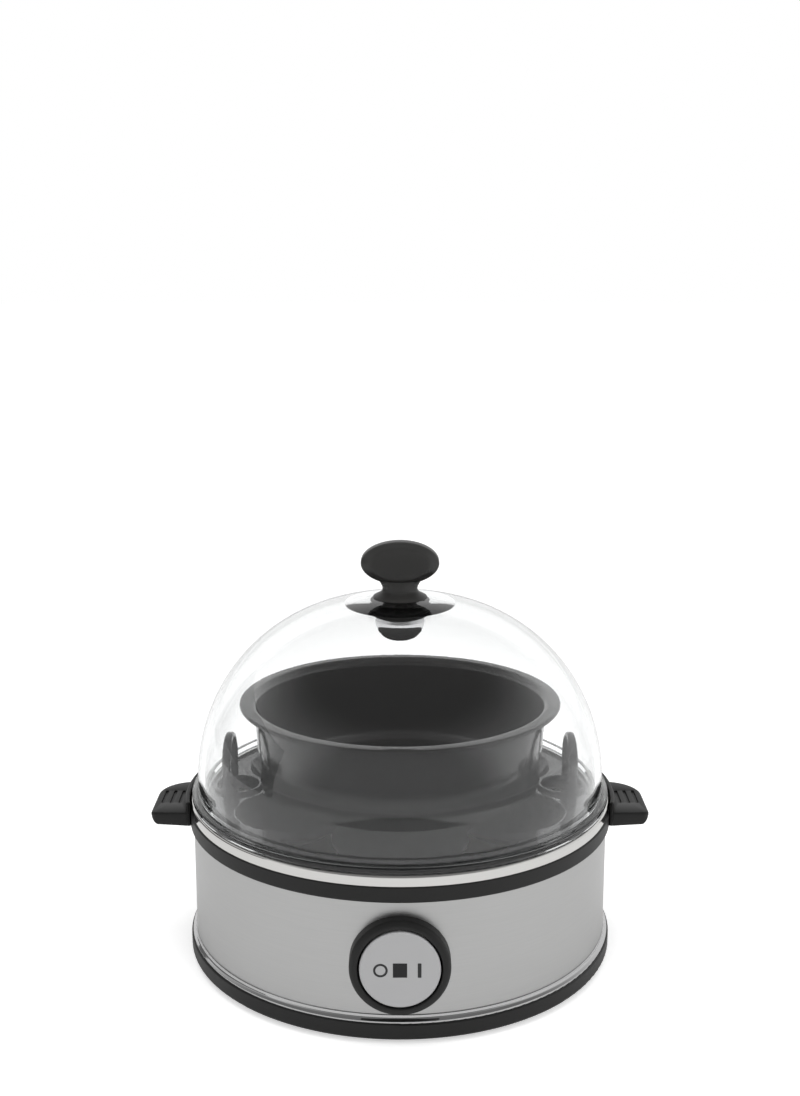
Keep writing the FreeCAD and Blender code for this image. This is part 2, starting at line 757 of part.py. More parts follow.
def tray_loops():
    # Upright finger loops over the collared holes, standing on the flat top outside the collars
    top = z_tray + loop_top
    loops = []
    for side in (-1, 1):
        loop = arch(loop_out, top, 2 * loop_half, z_tray)
        loop = loop.cut(arch(loop_out - loop_t, top - loop_t, 3 * loop_half, z_tray - 1))
        loop.translate(V(side * loop_x, 0, 0))
        loops.append(loop.cut(collar_post(side, collar_half, z_tray_under, z_tray + collar_h)))
    return Part.makeCompound(loops)


def poaching_bowl():
    # Thin bowl with a raised floor, a slightly flared wall and a flat flange
    floor = z_tray + bowl_t
    brim = z_tray + bowl_h
    foot = bowl_base_r - 11.3
    flare = 0.22
    path = [(0, floor + 0.8, 0), (foot, floor + 0.8, 0), (foot + 1.5, floor, 0),
            (bowl_base_r - bowl_t, floor, 5.3), (bowl_wall_r - bowl_t + flare, brim, 3.4),
            (bowl_rim_r, brim, 0)]
    return spin(sheet(path, bowl_t))


def lid_dome():
    # Skirt, bead and a dome of two tangent arcs, thickened to a flat seat under the knob
    side_x = dome_r - dome_side_r
    z_side = z_skirt + 11.0
    z_top = z_side - math.sqrt((dome_top_r - dome_side_r) ** 2 - side_x ** 2)
    meet = math.atan2(z_side - z_top, side_x)
    seat_r = 21.0

    def side(r, turn):
        return V(side_x + r * math.cos(turn), 0, z_side + r * math.sin(turn))

    def crown(r, turn):
        return V(r * math.cos(turn), 0, z_top + r * math.sin(turn))

    top_in = dome_top_r - dome_t
    side_in = dome_side_r - dome_t
    seat_turn = math.acos(seat_r / top_in)
    seat = crown(top_in, seat_turn)
    inner_foot = V(side_x + side_in, 0, z_side)
    bore = 2.7
    bore_turn = math.acos(bore / dome_top_r)
    soft = 0.7
    turn = soft * (1 - math.sqrt(0.5))
    foot = [V(dome_r, 0, z_side), V(dome_r, 0, z_bead), V(bead_r - soft, 0, z_bead)]
    heel = [V(bead_r - soft, 0, z_rim), V(skirt_r, 0, z_rim), V(skirt_r, 0, z_skirt),
            V(skirt_r - 2.1, 0, z_skirt), V(skirt_r - 2.1, 0, z_rim), inner_foot]
    edges = [Part.Arc(crown(dome_top_r, bore_turn), crown(dome_top_r, (bore_turn + meet) / 2),
                      crown(dome_top_r, meet)).toShape(),
             Part.Arc(side(dome_side_r, meet), side(dome_side_r, meet / 2), foot[0]).toShape()]
    for i in range(len(foot) - 1):
        edges.append(Part.makeLine(foot[i], foot[i + 1]))
    high = V(bead_r, 0, z_bead - soft)
    low = V(bead_r, 0, z_rim + soft)
    edges.append(Part.Arc(foot[-1], V(bead_r - turn, 0, z_bead - turn), high).toShape())
    edges.append(Part.makeLine(high, low))
    edges.append(Part.Arc(low, V(bead_r - turn, 0, z_rim + turn), heel[0]).toShape())
    for i in range(len(heel) - 1):
        edges.append(Part.makeLine(heel[i], heel[i + 1]))
    edges.append(Part.Arc(inner_foot, side(side_in, meet / 2), side(side_in, meet)).toShape())
    edges.append(Part.Arc(crown(top_in, meet), crown(top_in, (meet + seat_turn) / 2), seat).toShape())
    edges.append(Part.makeLine(seat, V(bore, 0, seat.z)))
    edges.append(Part.makeLine(V(bore, 0, seat.z), crown(dome_top_r, bore_turn)))
    shell = Part.Face(Part.Wire(edges)).revolve(V(0, 0, 0), up, 360)
    return shell, seat.z, z_top + dome_top_r


def ellipse(across, deep, z):
    # Level oval; the longer half axis may lie along X or Y
    if abs(across - deep) < 1e-6:
        return Part.Wire(Part.makeCircle(across, V(0, 0, z)))
    oval = Part.Ellipse(V(0, 0, z), across, deep)
    return Part.Wire(oval.toShape())


def lid_knob(z_top):
    # Oval paddle with bevelled edges on a waisted neck
    z_mid = z_top + 13.35
    edge_half = 2.6
    face_half = 5.4
    face = (knob_half - 3.7, knob_rise - 2.1)
    steps = [(*face, face_half), (knob_half, knob_rise, edge_half), (knob_half, knob_rise, -edge_half),
             (*face, -face_half)]
    paddle = Part.makeLoft([ellipse(a, b, z) for a, b, z in steps], True, True)
    paddle.rotate(V(0, 0, 0), V(1, 0, 0), 90)
    paddle.translate(V(0, 0, z_mid))
    waist = [(10.6, 10.2, -1.4), (10.4, 9.2, 0), (7.4, 5.6, 1.8), (6.9, 4.9, 3.6), (8.2, 4.4, 6.5)]
    neck = Part.makeLoft([ellipse(a, b, z_top + z) for a, b, z in waist], True)
    knob = paddle.fuse(neck).removeSplitter()
    knob = knob.cut(Part.makeSphere(dome_top_r, V(0, 0, z_top - dome_top_r)))
    return knob.cut(rod(2.5, V(0, 0, z_top - 10), V(0, 0, z_top + 10)))


seal_h = 4.0
cap_half = 9.65


def knob_seal(z_seat):
    # Soft washer between the dome and the cap screw
    low = z_seat - seal_h
    bore = 2.7
    return spin([(bore, low, 0), (cap_half + 0.55, low, 0.4), (cap_half + 2.15, z_seat, 0.4),
                 (bore, z_seat, 0)])


def knob_screw(z_seat, z_top):
    # Screw up into the knob, with a domed cap for a head
    under = z_seat - seal_h
    tip = z_top + 9.8
    shank = 2.45
    return spin([(0, under - 8.8, 0), (cap_half, under - 8.8, 7.2), (cap_half, under - 1.6, 0.5),
                 (cap_half - 0.6, under, 0), (shank, under, 0), (shank, tip, 0), (0, tip, 0)])


def main():
    os.makedirs("parts", exist_ok=True)
    save("bottom_cover", bottom_cover())
    save("rubber_feet", rubber_feet())
    save("clamp_screws", clamp_screws())
    save("weld_nuts", weld_nuts())
    save("steel_wall", steel_wall())
    save("trim_ring", trim_ring())
    save("upper_ring", upper_ring())
    save("handle_right", side_handle(1))
    save("handle_left", side_handle(-1))
    save("heating_dish", heating_dish())
    save("heater_plate", heater_plate())
    save("heating_element", heating_element())
    save("thermostat", thermostat())
    save("thermostat_strap", thermostat_strap())
    save("strap_screws", strap_screws())
    save("thermal_fuse", thermal_fuse())
    save("fuse_clip", fuse_clip())
    save("switch_bezel", switch_bezel())
    save("switch_retainer", switch_retainer())
    save("switch_body", switch_body())
    save("rocker_pin", rocker_pin())
    save("switch_rocker", switch_rocker())
    save("indicator_window", indicator_window())
    save("terminal_block", terminal_block())
    save("terminal_screws", terminal_screws())
    save("cord_gland", cord_gland())
    for name, points in leads().items():
        save(name, lead(points))
    save("egg_tray", egg_tray())
    save("egg_cups", egg_cups())
    save("tray_loops", tray_loops())
    save("poaching_bowl", poaching_bowl())
    dome, z_seat, z_top = lid_dome()
    save("lid_dome", dome)
    save("lid_knob", lid_knob(z_top))
    save("knob_seal", knob_seal(z_seat))
    save("knob_screw", knob_screw(z_seat, z_top))


main()
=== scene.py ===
import bpy
import bmesh
import json
import math
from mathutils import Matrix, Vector


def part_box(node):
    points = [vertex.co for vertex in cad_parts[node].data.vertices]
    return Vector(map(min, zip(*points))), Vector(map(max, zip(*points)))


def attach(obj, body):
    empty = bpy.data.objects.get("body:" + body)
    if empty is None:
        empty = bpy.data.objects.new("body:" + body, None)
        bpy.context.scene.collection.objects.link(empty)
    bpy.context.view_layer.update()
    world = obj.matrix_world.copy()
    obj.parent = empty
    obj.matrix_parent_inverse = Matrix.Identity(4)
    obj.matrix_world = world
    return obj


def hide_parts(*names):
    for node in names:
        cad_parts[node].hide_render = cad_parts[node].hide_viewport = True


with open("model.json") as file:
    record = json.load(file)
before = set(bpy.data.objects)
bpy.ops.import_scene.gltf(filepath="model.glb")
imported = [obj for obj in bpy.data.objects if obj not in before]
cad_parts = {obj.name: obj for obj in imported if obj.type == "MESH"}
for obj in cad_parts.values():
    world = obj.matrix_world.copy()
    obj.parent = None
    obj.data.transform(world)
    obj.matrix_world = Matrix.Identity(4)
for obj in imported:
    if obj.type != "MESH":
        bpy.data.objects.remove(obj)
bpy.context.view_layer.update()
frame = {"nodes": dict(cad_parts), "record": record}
nodes = frame["nodes"]
scene = bpy.context.scene
scene.view_settings.view_transform = "Standard"
mm = 0.001
white = (1.0, 1.0, 1.0, 1.0)
black = (0.0, 0.0, 0.0, 1.0)

# heights that several pieces share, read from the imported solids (millimetres)
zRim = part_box("heating_dish")[1].z / mm
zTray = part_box("poaching_bowl")[0].z / mm
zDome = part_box("lid_dome")[0].z / mm
rockerLow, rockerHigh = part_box("switch_rocker")
zSwitch = (rockerLow.z + rockerHigh.z) / 2 / mm
print("frame loaded:", len(nodes), "nodes")


# outlines, in millimetres
def roundCorners(corners, degreesPerStep=7.0, closed=True):
    # corners are (across, up, radius); each radius becomes a tangent arc
    points = []
    count = len(corners)
    for i, (a, b, r) in enumerate(corners):
        here = Vector((a, b))
        atEnd = not closed and i in (0, count - 1)
        if r <= 0 or atEnd:
            points.append((a, b))
            continue
        last = Vector(corners[i - 1][:2])
        following = Vector(corners[(i + 1) % count][:2])
        back = (last - here).normalized()
        ahead = (following - here).normalized()
        half = back.angle(ahead) / 2
        reach = r / math.tan(half)
        centre = here + (back + ahead).normalized() * (r / math.sin(half))
        start = here + back * reach - centre
        end = here + ahead * reach - centre
        turn = math.pi - 2 * half
        steps = max(3, math.ceil(math.degrees(turn) / degreesPerStep))
        for k in range(steps + 1):
            t = k / steps
            spoke = (start * math.sin((1 - t) * turn) + end * math.sin(t * turn)) / math.sin(turn)
            points.append(tuple(centre + spoke))
    return points


def softBox(low, high, soft, degreesPerStep):
    # rectangle between two opposite corners, all four rounded alike
    (a, b), (c, d) = low, high
    return roundCorners([(a, b, soft), (c, b, soft), (c, d, soft), (a, d, soft)], degreesPerStep)


def bentSheet(path, thick):
    # the path, then the path offset to its right by the sheet's thickness
    far = []
    for i, (a, b, r) in enumerate(path):
        ways = []
        if i > 0:
            ways.append((Vector((a, b)) - Vector(path[i - 1][:2])).normalized())
        if i < len(path) - 1:
            ways.append((Vector(path[i + 1][:2]) - Vector((a, b))).normalized())
        rights = [Vector((w.y, -w.x)) for w in ways]
        shift = rights[0] * thick
        outer = 0.0
        if len(ways) == 2:
            mean = (rights[0] + rights[1]).normalized()
            shift = mean * (thick / mean.dot(rights[0]))
            turn = ways[0].cross(ways[1])
            outer = max(r + math.copysign(thick, turn), 0.0) if r > 0 else 0.0
        far.append((a + shift.x, b + shift.y, outer))
    return list(path) + far[::-1]


def arcBetween(centre, radius, first, last, steps):
    points = []
    for k in range(steps + 1):
        turn = first + (last - first) * k / steps
        points.append((centre[0] + radius * math.cos(turn), centre[1] + radius * math.sin(turn)))
    return points


def fullTurn(steps):
    return [2 * math.pi * i / steps for i in range(steps)]


def quarterTurn(steps):
    return [math.pi / 2 * k / steps for k in range(steps + 1)]


# meshes
def vertsAt(bm, points):
    # one vertex for each (x, y, z) in millimetres
    return [bm.verts.new((x * mm, y * mm, z * mm)) for x, y, z in points]


def ringOf(bm, r, z, steps, middle=(0.0, 0.0)):
    # a circle, or one point on the axis
    x, y = middle
    turns = fullTurn(steps) if r > 0 else [0.0]
    return vertsAt(bm, [(x + r * math.cos(t), y + r * math.sin(t), z) for t in turns])


def joinRings(bm, first, second, materialIndex=0):
    steps = max(len(first), len(second))
    for i in range(steps):
        j = (i + 1) % steps
        corners = [first[i % len(first)], first[j % len(first)],
                   second[j % len(second)], second[i % len(second)]]
        corners = list(dict.fromkeys(corners))
        if len(corners) > 2:
            bm.faces.new(corners).material_index = materialIndex


def joinChain(bm, rings):
    for first, second in zip(rings, rings[1:]):
        joinRings(bm, first, second)


def closedChain(bm, rings):
    # a face at each end makes it a solid
    joinChain(bm, rings)
    bm.faces.new(rings[0])
    bm.faces.new(rings[-1])


def lathe(bm, profile, steps, paint=None, middle=(0.0, 0.0), closed=True):
    # profile is (radius, height) in millimetres, turned about an upright axis;
    # paint picks a face's material from its radius, its height and its row
    rings = [ringOf(bm, r, z, steps, middle) for r, z in profile]
    last = len(rings) if closed else len(rings) - 1
    for k in range(last):
        following = rings[(k + 1) % len(rings)]
        if len(rings[k]) == 1 and len(following) == 1:
            continue
        a, b = profile[k], profile[(k + 1) % len(profile)]
        index = paint((a[0] + b[0]) / 2, (a[1] + b[1]) / 2, k) if paint else 0
        joinRings(bm, rings[k], following, index)
    return rings


def turnToFront(bm, z):
    # what was turned about the upright axis now points out of the front, at height z
    for v in bm.verts:
        v.co = Vector((v.co.x, -v.co.z, v.co.y + z * mm))


def addPiece(name, bm, body, materials, replaced=(), sharpAngle=34.0):
    bmesh.ops.recalc_face_normals(bm, faces=bm.faces)
    for face in bm.faces:
        face.smooth = True
    for edge in bm.edges:
        if len(edge.link_faces) == 2 and edge.calc_face_angle(0.0) > math.radians(sharpAngle):
            edge.smooth = False
    mesh = bpy.data.meshes.new(name)
    bm.to_mesh(mesh)
    bm.free()
    for material in materials:
        mesh.materials.append(material)
    piece = bpy.data.objects.new(name, mesh)
    scene.collection.objects.link(piece)
    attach(piece, body)
    if replaced:
        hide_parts(*replaced)
    return piece


# large flat faces keep their own normal, so that only the roundings beside them shade
def shadeEvenly(piece):
    weighted = piece.modifiers.new("evenShading", "WEIGHTED_NORMAL")
    weighted.keep_sharp = True


# shared effects, as node groups
noiseMiddle = 0.5


def newGroup(name, inputs, outputs):
    group = bpy.data.node_groups.new(name, "ShaderNodeTree")
    for label, value in inputs.items():
        socket = group.interface.new_socket(label, in_out="INPUT", socket_type="NodeSocketFloat")
        socket.default_value = value
    for label in outputs:
        group.interface.new_socket(label, in_out="OUTPUT", socket_type="NodeSocketFloat")
    start = group.nodes.new("NodeGroupInput")
    end = group.nodes.new("NodeGroupOutput")
    return group, start, end


def mathNode(tree, operation, first, second=None):
    node = tree.nodes.new("ShaderNodeMath")
    node.operation = operation
    for socket, value in zip(node.inputs, (first, second)):
        if value is None:
            continue
        if isinstance(value, (int, float)):
            socket.default_value = value
        else:
            tree.links.new(value, socket)
    return node.outputs[0]


def fineGrainGroup():
    # fine moulded texture, with a slow drift of tone
    group, start, end = newGroup("fineGrain", {"Scale": 2600.0, "Drift": 0.1}, ("Height", "Tone"))
    place = group.nodes.new("ShaderNodeTexCoord")
    grain = group.nodes.new("ShaderNodeTexNoise")
    grain.inputs["Detail"].default_value = 3.0
    group.links.new(place.outputs["Object"], grain.inputs["Vector"])
    group.links.new(start.outputs["Scale"], grain.inputs["Scale"])
    group.links.new(grain.outputs["Fac"], end.inputs["Height"])
    drift = group.nodes.new("ShaderNodeTexNoise")
    drift.inputs["Scale"].default_value = 42.0
    drift.inputs["Detail"].default_value = 2.0
    group.links.new(place.outputs["Object"], drift.inputs["Vector"])
    swing = mathNode(group, "SUBTRACT", drift.outputs["Fac"], noiseMiddle)
    swing = mathNode(group, "MULTIPLY", swing, start.outputs["Drift"])
    group.links.new(mathNode(group, "ADD", swing, 1.0), end.inputs["Tone"])
    return group


def turnedMarksGroup():
    # fine lines round the upright axis, as spinning and brushing leave on sheet metal
    group, start, end = newGroup("turnedMarks", {"Lines": 5200.0, "Sweep": 3.0}, ("Height",))
    place = group.nodes.new("ShaderNodeTexCoord")
    split = group.nodes.new("ShaderNodeSeparateXYZ")
    group.links.new(place.outputs["Object"], split.inputs[0])
    across = mathNode(group, "MULTIPLY", split.outputs["X"], split.outputs["X"])
    deep = mathNode(group, "MULTIPLY", split.outputs["Y"], split.outputs["Y"])
    radius = mathNode(group, "SQRT", mathNode(group, "ADD", across, deep))
    angle = mathNode(group, "ARCTAN2", split.outputs["Y"], split.outputs["X"])
    join = group.nodes.new("ShaderNodeCombineXYZ")
    group.links.new(mathNode(group, "MULTIPLY", radius, start.outputs["Lines"]), join.inputs["X"])
    group.links.new(mathNode(group, "MULTIPLY", split.outputs["Z"], start.outputs["Lines"]), join.inputs["Y"])
    group.links.new(mathNode(group, "MULTIPLY", angle, start.outputs["Sweep"]), join.inputs["Z"])
    lines = group.nodes.new("ShaderNodeTexNoise")
    lines.inputs["Scale"].default_value = 1.0
    lines.inputs["Detail"].default_value = 2.0
    group.links.new(join.outputs[0], lines.inputs["Vector"])
    group.links.new(lines.outputs["Fac"], end.inputs["Height"])
    return group


def handlingGroup():
    # faint smears that lift the roughness here and there
    group, start, end = newGroup("handling", {"Base": 0.3, "Amount": 0.05, "Scale": 26.0}, ("Rough",))
    place = group.nodes.new("ShaderNodeTexCoord")
    smear = group.nodes.new("ShaderNodeTexNoise")
    smear.inputs["Detail"].default_value = 5.0
    smear.inputs["Distortion"].default_value = 0.8
    group.links.new(place.outputs["Object"], smear.inputs["Vector"])
    group.links.new(start.outputs["Scale"], smear.inputs["Scale"])
    swing = mathNode(group, "SUBTRACT", smear.outputs["Fac"], noiseMiddle)
    swing = mathNode(group, "MULTIPLY", swing, start.outputs["Amount"])
    group.links.new(mathNode(group, "ADD", swing, start.outputs["Base"]), end.inputs["Rough"])
    return group


fineGrain = fineGrainGroup()
turnedMarks = turnedMarksGroup()
handling = handlingGroup()


def placeGroup(tree, group, values):
    node = tree.nodes.new("ShaderNodeGroup")
    node.node_tree = group
    for label, value in values.items():
        node.inputs[label].default_value = value
    return node


def newMaterial(name):
    material = bpy.data.materials.new(name)
    material.use_nodes = True
    return material, material.node_tree, material.node_tree.nodes["Principled BSDF"]


def tintedBase(tree, shader, colour, toneSocket):
    # base colour times a tone that hovers round one
    tint = tree.nodes.new("ShaderNodeMix")
    tint.data_type = "RGBA"
    tint.blend_type = "MULTIPLY"
    tint.inputs["Factor"].default_value = 1.0
    tint.inputs["A"].default_value = (*colour, 1.0)
    tree.links.new(toneSocket, tint.inputs["B"])
    tree.links.new(tint.outputs["Result"], shader.inputs["Base Color"])


def addBump(tree, shader, heightSocket, depth):
    bump = tree.nodes.new("ShaderNodeBump")
    bump.inputs["Strength"].default_value = 1.0
    bump.inputs["Distance"].default_value = depth * mm
    tree.links.new(heightSocket, bump.inputs["Height"])
    tree.links.new(bump.outputs["Normal"], shader.inputs["Normal"])


def mouldedPlastic(name, look):
    material, tree, shader = newMaterial(name)
    grain = placeGroup(tree, fineGrain, {"Scale": look["grain"], "Drift": look["drift"]})
    smear = placeGroup(tree, handling, {"Base": look["rough"], "Amount": look["smear"]})
    tintedBase(tree, shader, look["colour"], grain.outputs["Tone"])
    tree.links.new(smear.outputs["Rough"], shader.inputs["Roughness"])
    shader.inputs["IOR"].default_value = look["ior"]
    addBump(tree, shader, grain.outputs["Height"], look["depth"])
    return material


def turnedMetal(name, look):
    material, tree, shader = newMaterial(name)
    marks = placeGroup(tree, turnedMarks, {"Lines": look["lines"], "Sweep": look["sweep"]})
    smear = placeGroup(tree, handling, {"Base": look["rough"], "Amount": look["smear"]})
    swing = mathNode(tree, "SUBTRACT", marks.outputs["Height"], noiseMiddle)
    swing = mathNode(tree, "MULTIPLY", swing, look["shade"])
    tintedBase(tree, shader, look["colour"], mathNode(tree, "ADD", swing, 1.0))
    tree.links.new(smear.outputs["Rough"], shader.inputs["Roughness"])
    shader.inputs["Metallic"].default_value = 1.0
    addBump(tree, shader, marks.outputs["Height"], look["depth"])
    return material


# grain and lines count per metre, depth is in millimetres, and smear, drift and shade are swings of
# roughness and tone
plasticLooks = {
    "mattBlack": {"colour": (0.010, 0.010, 0.0098), "rough": 0.46, "smear": 0.10, "ior": 1.36,
                  "grain": 2600.0, "drift": 0.25, "depth": 0.012},
    "knobSatin": {"colour": (0.026, 0.0255, 0.0245), "rough": 0.4, "smear": 0.08, "ior": 1.42,
                  "grain": 2600.0, "drift": 0.2, "depth": 0.01},
    "trayGloss": {"colour": (0.006, 0.006, 0.0065), "rough": 0.07, "smear": 0.05, "ior": 1.52,
                  "grain": 900.0, "drift": 0.2, "depth": 0.0008},
    "bowlSatin": {"colour": (0.004, 0.004, 0.0038), "rough": 0.15, "smear": 0.06, "ior": 1.42,
                  "grain": 1500.0, "drift": 0.2, "depth": 0.002},
    "bowlGloss": {"colour": (0.010, 0.0095, 0.009), "rough": 0.09, "smear": 0.06, "ior": 1.52,
                  "grain": 900.0, "drift": 0.2, "depth": 0.001},
    "switchSilver": {"colour": (0.42, 0.42, 0.425), "rough": 0.36, "smear": 0.06, "ior": 1.45,
                     "grain": 2200.0, "drift": 0.05, "depth": 0.004},
    "markInk": {"colour": (0.012, 0.012, 0.013), "rough": 0.4, "smear": 0.06, "ior": 1.45,
                "grain": 2600.0, "drift": 0.2, "depth": 0.002},
    "smokedLens": {"colour": (0.008, 0.008, 0.009), "rough": 0.16, "smear": 0.05, "ior": 1.36,
                   "grain": 900.0, "drift": 0.2, "depth": 0.001},
    "softRubber": {"colour": (0.016, 0.016, 0.016), "rough": 0.62, "smear": 0.12, "ior": 1.42,
                   "grain": 1800.0, "drift": 0.3, "depth": 0.016},
    "ivoryMoulding": {"colour": (0.66, 0.58, 0.42), "rough": 0.5, "smear": 0.1, "ior": 1.5,
                      "grain": 1400.0, "drift": 0.12, "depth": 0.01},
    "whiteMoulding": {"colour": (0.78, 0.78, 0.74), "rough": 0.45, "smear": 0.08, "ior": 1.5,
                      "grain": 1400.0, "drift": 0.08, "depth": 0.008},
    "brownSleeve": {"colour": (0.15, 0.065, 0.03), "rough": 0.5, "smear": 0.1, "ior": 1.42,
                    "grain": 1200.0, "drift": 0.2, "depth": 0.01},
    "whiteSleeve": {"colour": (0.70, 0.70, 0.67), "rough": 0.5, "smear": 0.1, "ior": 1.42,
                    "grain": 1200.0, "drift": 0.1, "depth": 0.01},
    "blueSleeve": {"colour": (0.05, 0.11, 0.36), "rough": 0.5, "smear": 0.1, "ior": 1.42,
                   "grain": 1200.0, "drift": 0.2, "depth": 0.01},
    "greenSleeve": {"colour": (0.14, 0.40, 0.09), "rough": 0.5, "smear": 0.1, "ior": 1.42,
                    "grain": 1200.0, "drift": 0.2, "depth": 0.01},
}
metalLooks = {
    "satinWall": {"colour": (0.455, 0.455, 0.452), "rough": 0.36, "smear": 0.05, "lines": 4200.0,
                  "sweep": 5.0, "shade": 0.10, "depth": 0.004},
    "brightDish": {"colour": (0.62, 0.615, 0.60), "rough": 0.08, "smear": 0.02, "lines": 3600.0,
                   "sweep": 2.0, "shade": 0.06, "depth": 0.0012},
    "dishFloor": {"colour": (0.60, 0.59, 0.565), "rough": 0.3, "smear": 0.02, "lines": 3000.0,
                  "sweep": 2.0, "shade": 0.14, "depth": 0.003},
    # the trim's plating is set darker than bright chrome: painted shade standing in for the dark surroundings
    # it reflects
    "trimPlatingPaintedShade": {"colour": (0.48, 0.48, 0.482), "rough": 0.07, "smear": 0.04, "lines": 3600.0,
                   "sweep": 2.0, "shade": 0.03, "depth": 0.0008},
    # the same plating on the knob's screw cap, set darker than bright chrome so that it shows grey against
    # the white surround: painted shade, less than on the trim
    "capPlatingPaintedShade": {"colour": (0.62, 0.62, 0.63), "rough": 0.08, "smear": 0.03, "lines": 3600.0,
                  "sweep": 2.0, "shade": 0.03, "depth": 0.0008},
    "zincSteel": {"colour": (0.55, 0.55, 0.53), "rough": 0.32, "smear": 0.1, "lines": 3000.0,
                  "sweep": 2.0, "shade": 0.1, "depth": 0.003},
    "castAluminium": {"colour": (0.58, 0.58, 0.59), "rough": 0.45, "smear": 0.12, "lines": 2400.0,
                      "sweep": 4.0, "shade": 0.12, "depth": 0.01},
    "oxidisedTube": {"colour": (0.30, 0.28, 0.26), "rough": 0.45, "smear": 0.14, "lines": 2400.0,
                     "sweep": 4.0, "shade": 0.2, "depth": 0.006},
    "fuseCan": {"colour": (0.62, 0.48, 0.24), "rough": 0.3, "smear": 0.1, "lines": 2400.0,
                "sweep": 2.0, "shade": 0.1, "depth": 0.003},
}
finishes = {name: mouldedPlastic(name, look) for name, look in plasticLooks.items()}
finishes.update({name: turnedMetal(name, look) for name, look in metalLooks.items()})

clearLook = {"ior": 1.49, "rough": 0.015, "density": 85.0, "tint": (0.80, 0.82, 0.82), "grain": 700.0,
             "depth": 0.0012}


def clearMoulding(name, look):
    # clear plastic that greys along its edges, and lets lamp light through to what stands under it
    material, tree, shader = newMaterial(name)
    grain = placeGroup(tree, fineGrain, {"Scale": look["grain"], "Drift": 0.0})
    addBump(tree, shader, grain.outputs["Height"], look["depth"])
    shader.inputs["Base Color"].default_value = white
    shader.inputs["Roughness"].default_value = look["rough"]
    shader.inputs["IOR"].default_value = look["ior"]
    shader.inputs["Transmission Weight"].default_value = 1.0
    light = tree.nodes.new("ShaderNodeLightPath")
    clear = tree.nodes.new("ShaderNodeBsdfTransparent")
    mix = tree.nodes.new("ShaderNodeMixShader")
    output = tree.nodes["Material Output"]
    either = mathNode(tree, "MAXIMUM", light.outputs["Is Shadow Ray"], light.outputs["Is Diffuse Ray"])
    tree.links.new(either, mix.inputs["Fac"])
    tree.links.new(shader.outputs["BSDF"], mix.inputs[1])
    tree.links.new(clear.outputs["BSDF"], mix.inputs[2])
    tree.links.new(mix.outputs["Shader"], output.inputs["Surface"])
    fog = tree.nodes.new("ShaderNodeVolumeAbsorption")
    fog.inputs["Color"].default_value = (*look["tint"], 1.0)
    fog.inputs["Density"].default_value = look["density"]
    tree.links.new(fog.outputs["Volume"], output.inputs["Volume"])
    return material


finishes["clearDome"] = clearMoulding("clearDome", clearLook)

# which finish each slot of the record gets where its solid is shown as it is
slotFinish = {
    "satin_steel": "satinWall", "polished_steel": "brightDish", "bright_trim": "trimPlatingPaintedShade",
    "black_plastic": "mattBlack", "switch_grey": "switchSilver", "indicator_lens": "smokedLens",
    "tray_black": "trayGloss", "bowl_black": "bowlSatin", "clear_plastic": "clearDome",
    "black_rubber": "softRubber", "cast_aluminium": "castAluminium", "element_steel": "oxidisedTube",
    "zinc_steel": "zincSteel", "ivory_phenolic": "ivoryMoulding", "white_nylon": "whiteMoulding",
    "fuse_brass": "fuseCan", "lead_brown": "brownSleeve", "lead_white": "whiteSleeve",
    "lead_blue": "blueSleeve", "lead_green": "greenSleeve",
}
for subpart in frame["record"]["subparts"]:
    solid = nodes[subpart["node"]]
    for place in solid.material_slots:
        place.material = finishes[slotFinish[subpart["material_slot"]]]
# the knob's screw cap takes its own lighter copy of the trim's plating, a second painted shade tone
for place in nodes["knob_screw"].material_slots:
    place.material = finishes["capPlatingPaintedShade"]
print("finishes:", len(finishes))


# dish: a bright drawn rim, ledge and wall, with a satin floor
dish = {"sheet": 0.8, "floor": 45.5, "raised": 60.2, "step": 0.5, "floorRadius": 67.75, "mouth": 70.4,
        "ledge": 79.0, "ledgeHeight": 57.5, "rimFlare": 2.2, "rimRadius": 82.9, "rimFoot": 59.5, "steps": 256,
        "stepRound": 0.6, "floorRound": 2.0, "mouthRound": 1.6, "ledgeRound": 1.4, "flareRound": 0.4,
        "rimRound": 0.9, "satinMargin": 1.6, "satinRise": 0.5}


def buildDish():
    floor, step, ledge = dish["floor"], dish["step"], dish["ledgeHeight"]
    path = [(0, floor, 0), (dish["raised"] - step, floor, dish["stepRound"]),
            (dish["raised"] + step, floor - step, dish["stepRound"]),
            (dish["floorRadius"], floor - step, dish["floorRound"]),
            (dish["mouth"], ledge, dish["mouthRound"]), (dish["ledge"], ledge, dish["ledgeRound"]),
            (dish["ledge"] + dish["rimFlare"], zRim, dish["flareRound"]),
            (dish["rimRadius"], zRim, dish["rimRound"]), (dish["rimRadius"], dish["rimFoot"], 0)]

    def paint(r, z, k):
        satin = r < dish["floorRadius"] - dish["satinMargin"] and z < floor + dish["satinRise"]
        return 1 if satin else 0

    bm = bmesh.new()
    lathe(bm, roundCorners(bentSheet(path, dish["sheet"])), dish["steps"], paint)
    addPiece("dishShell", bm, "base", [finishes["brightDish"], finishes["dishFloor"]],
             ["heating_dish"])


buildDish()

# bowl: satin outside, glossy inside
bowl = {"sheet": 1.6, "height": 37.9, "base": 55.3, "wall": 57.2, "rim": 62.8, "foot": 44.0, "raise": 0.8,
        "flare": 0.22, "footSlope": 1.5, "footRound": 0.5, "baseRound": 5.3, "lipRound": 3.4, "rimRound": 0.7,
        "steps": 224}


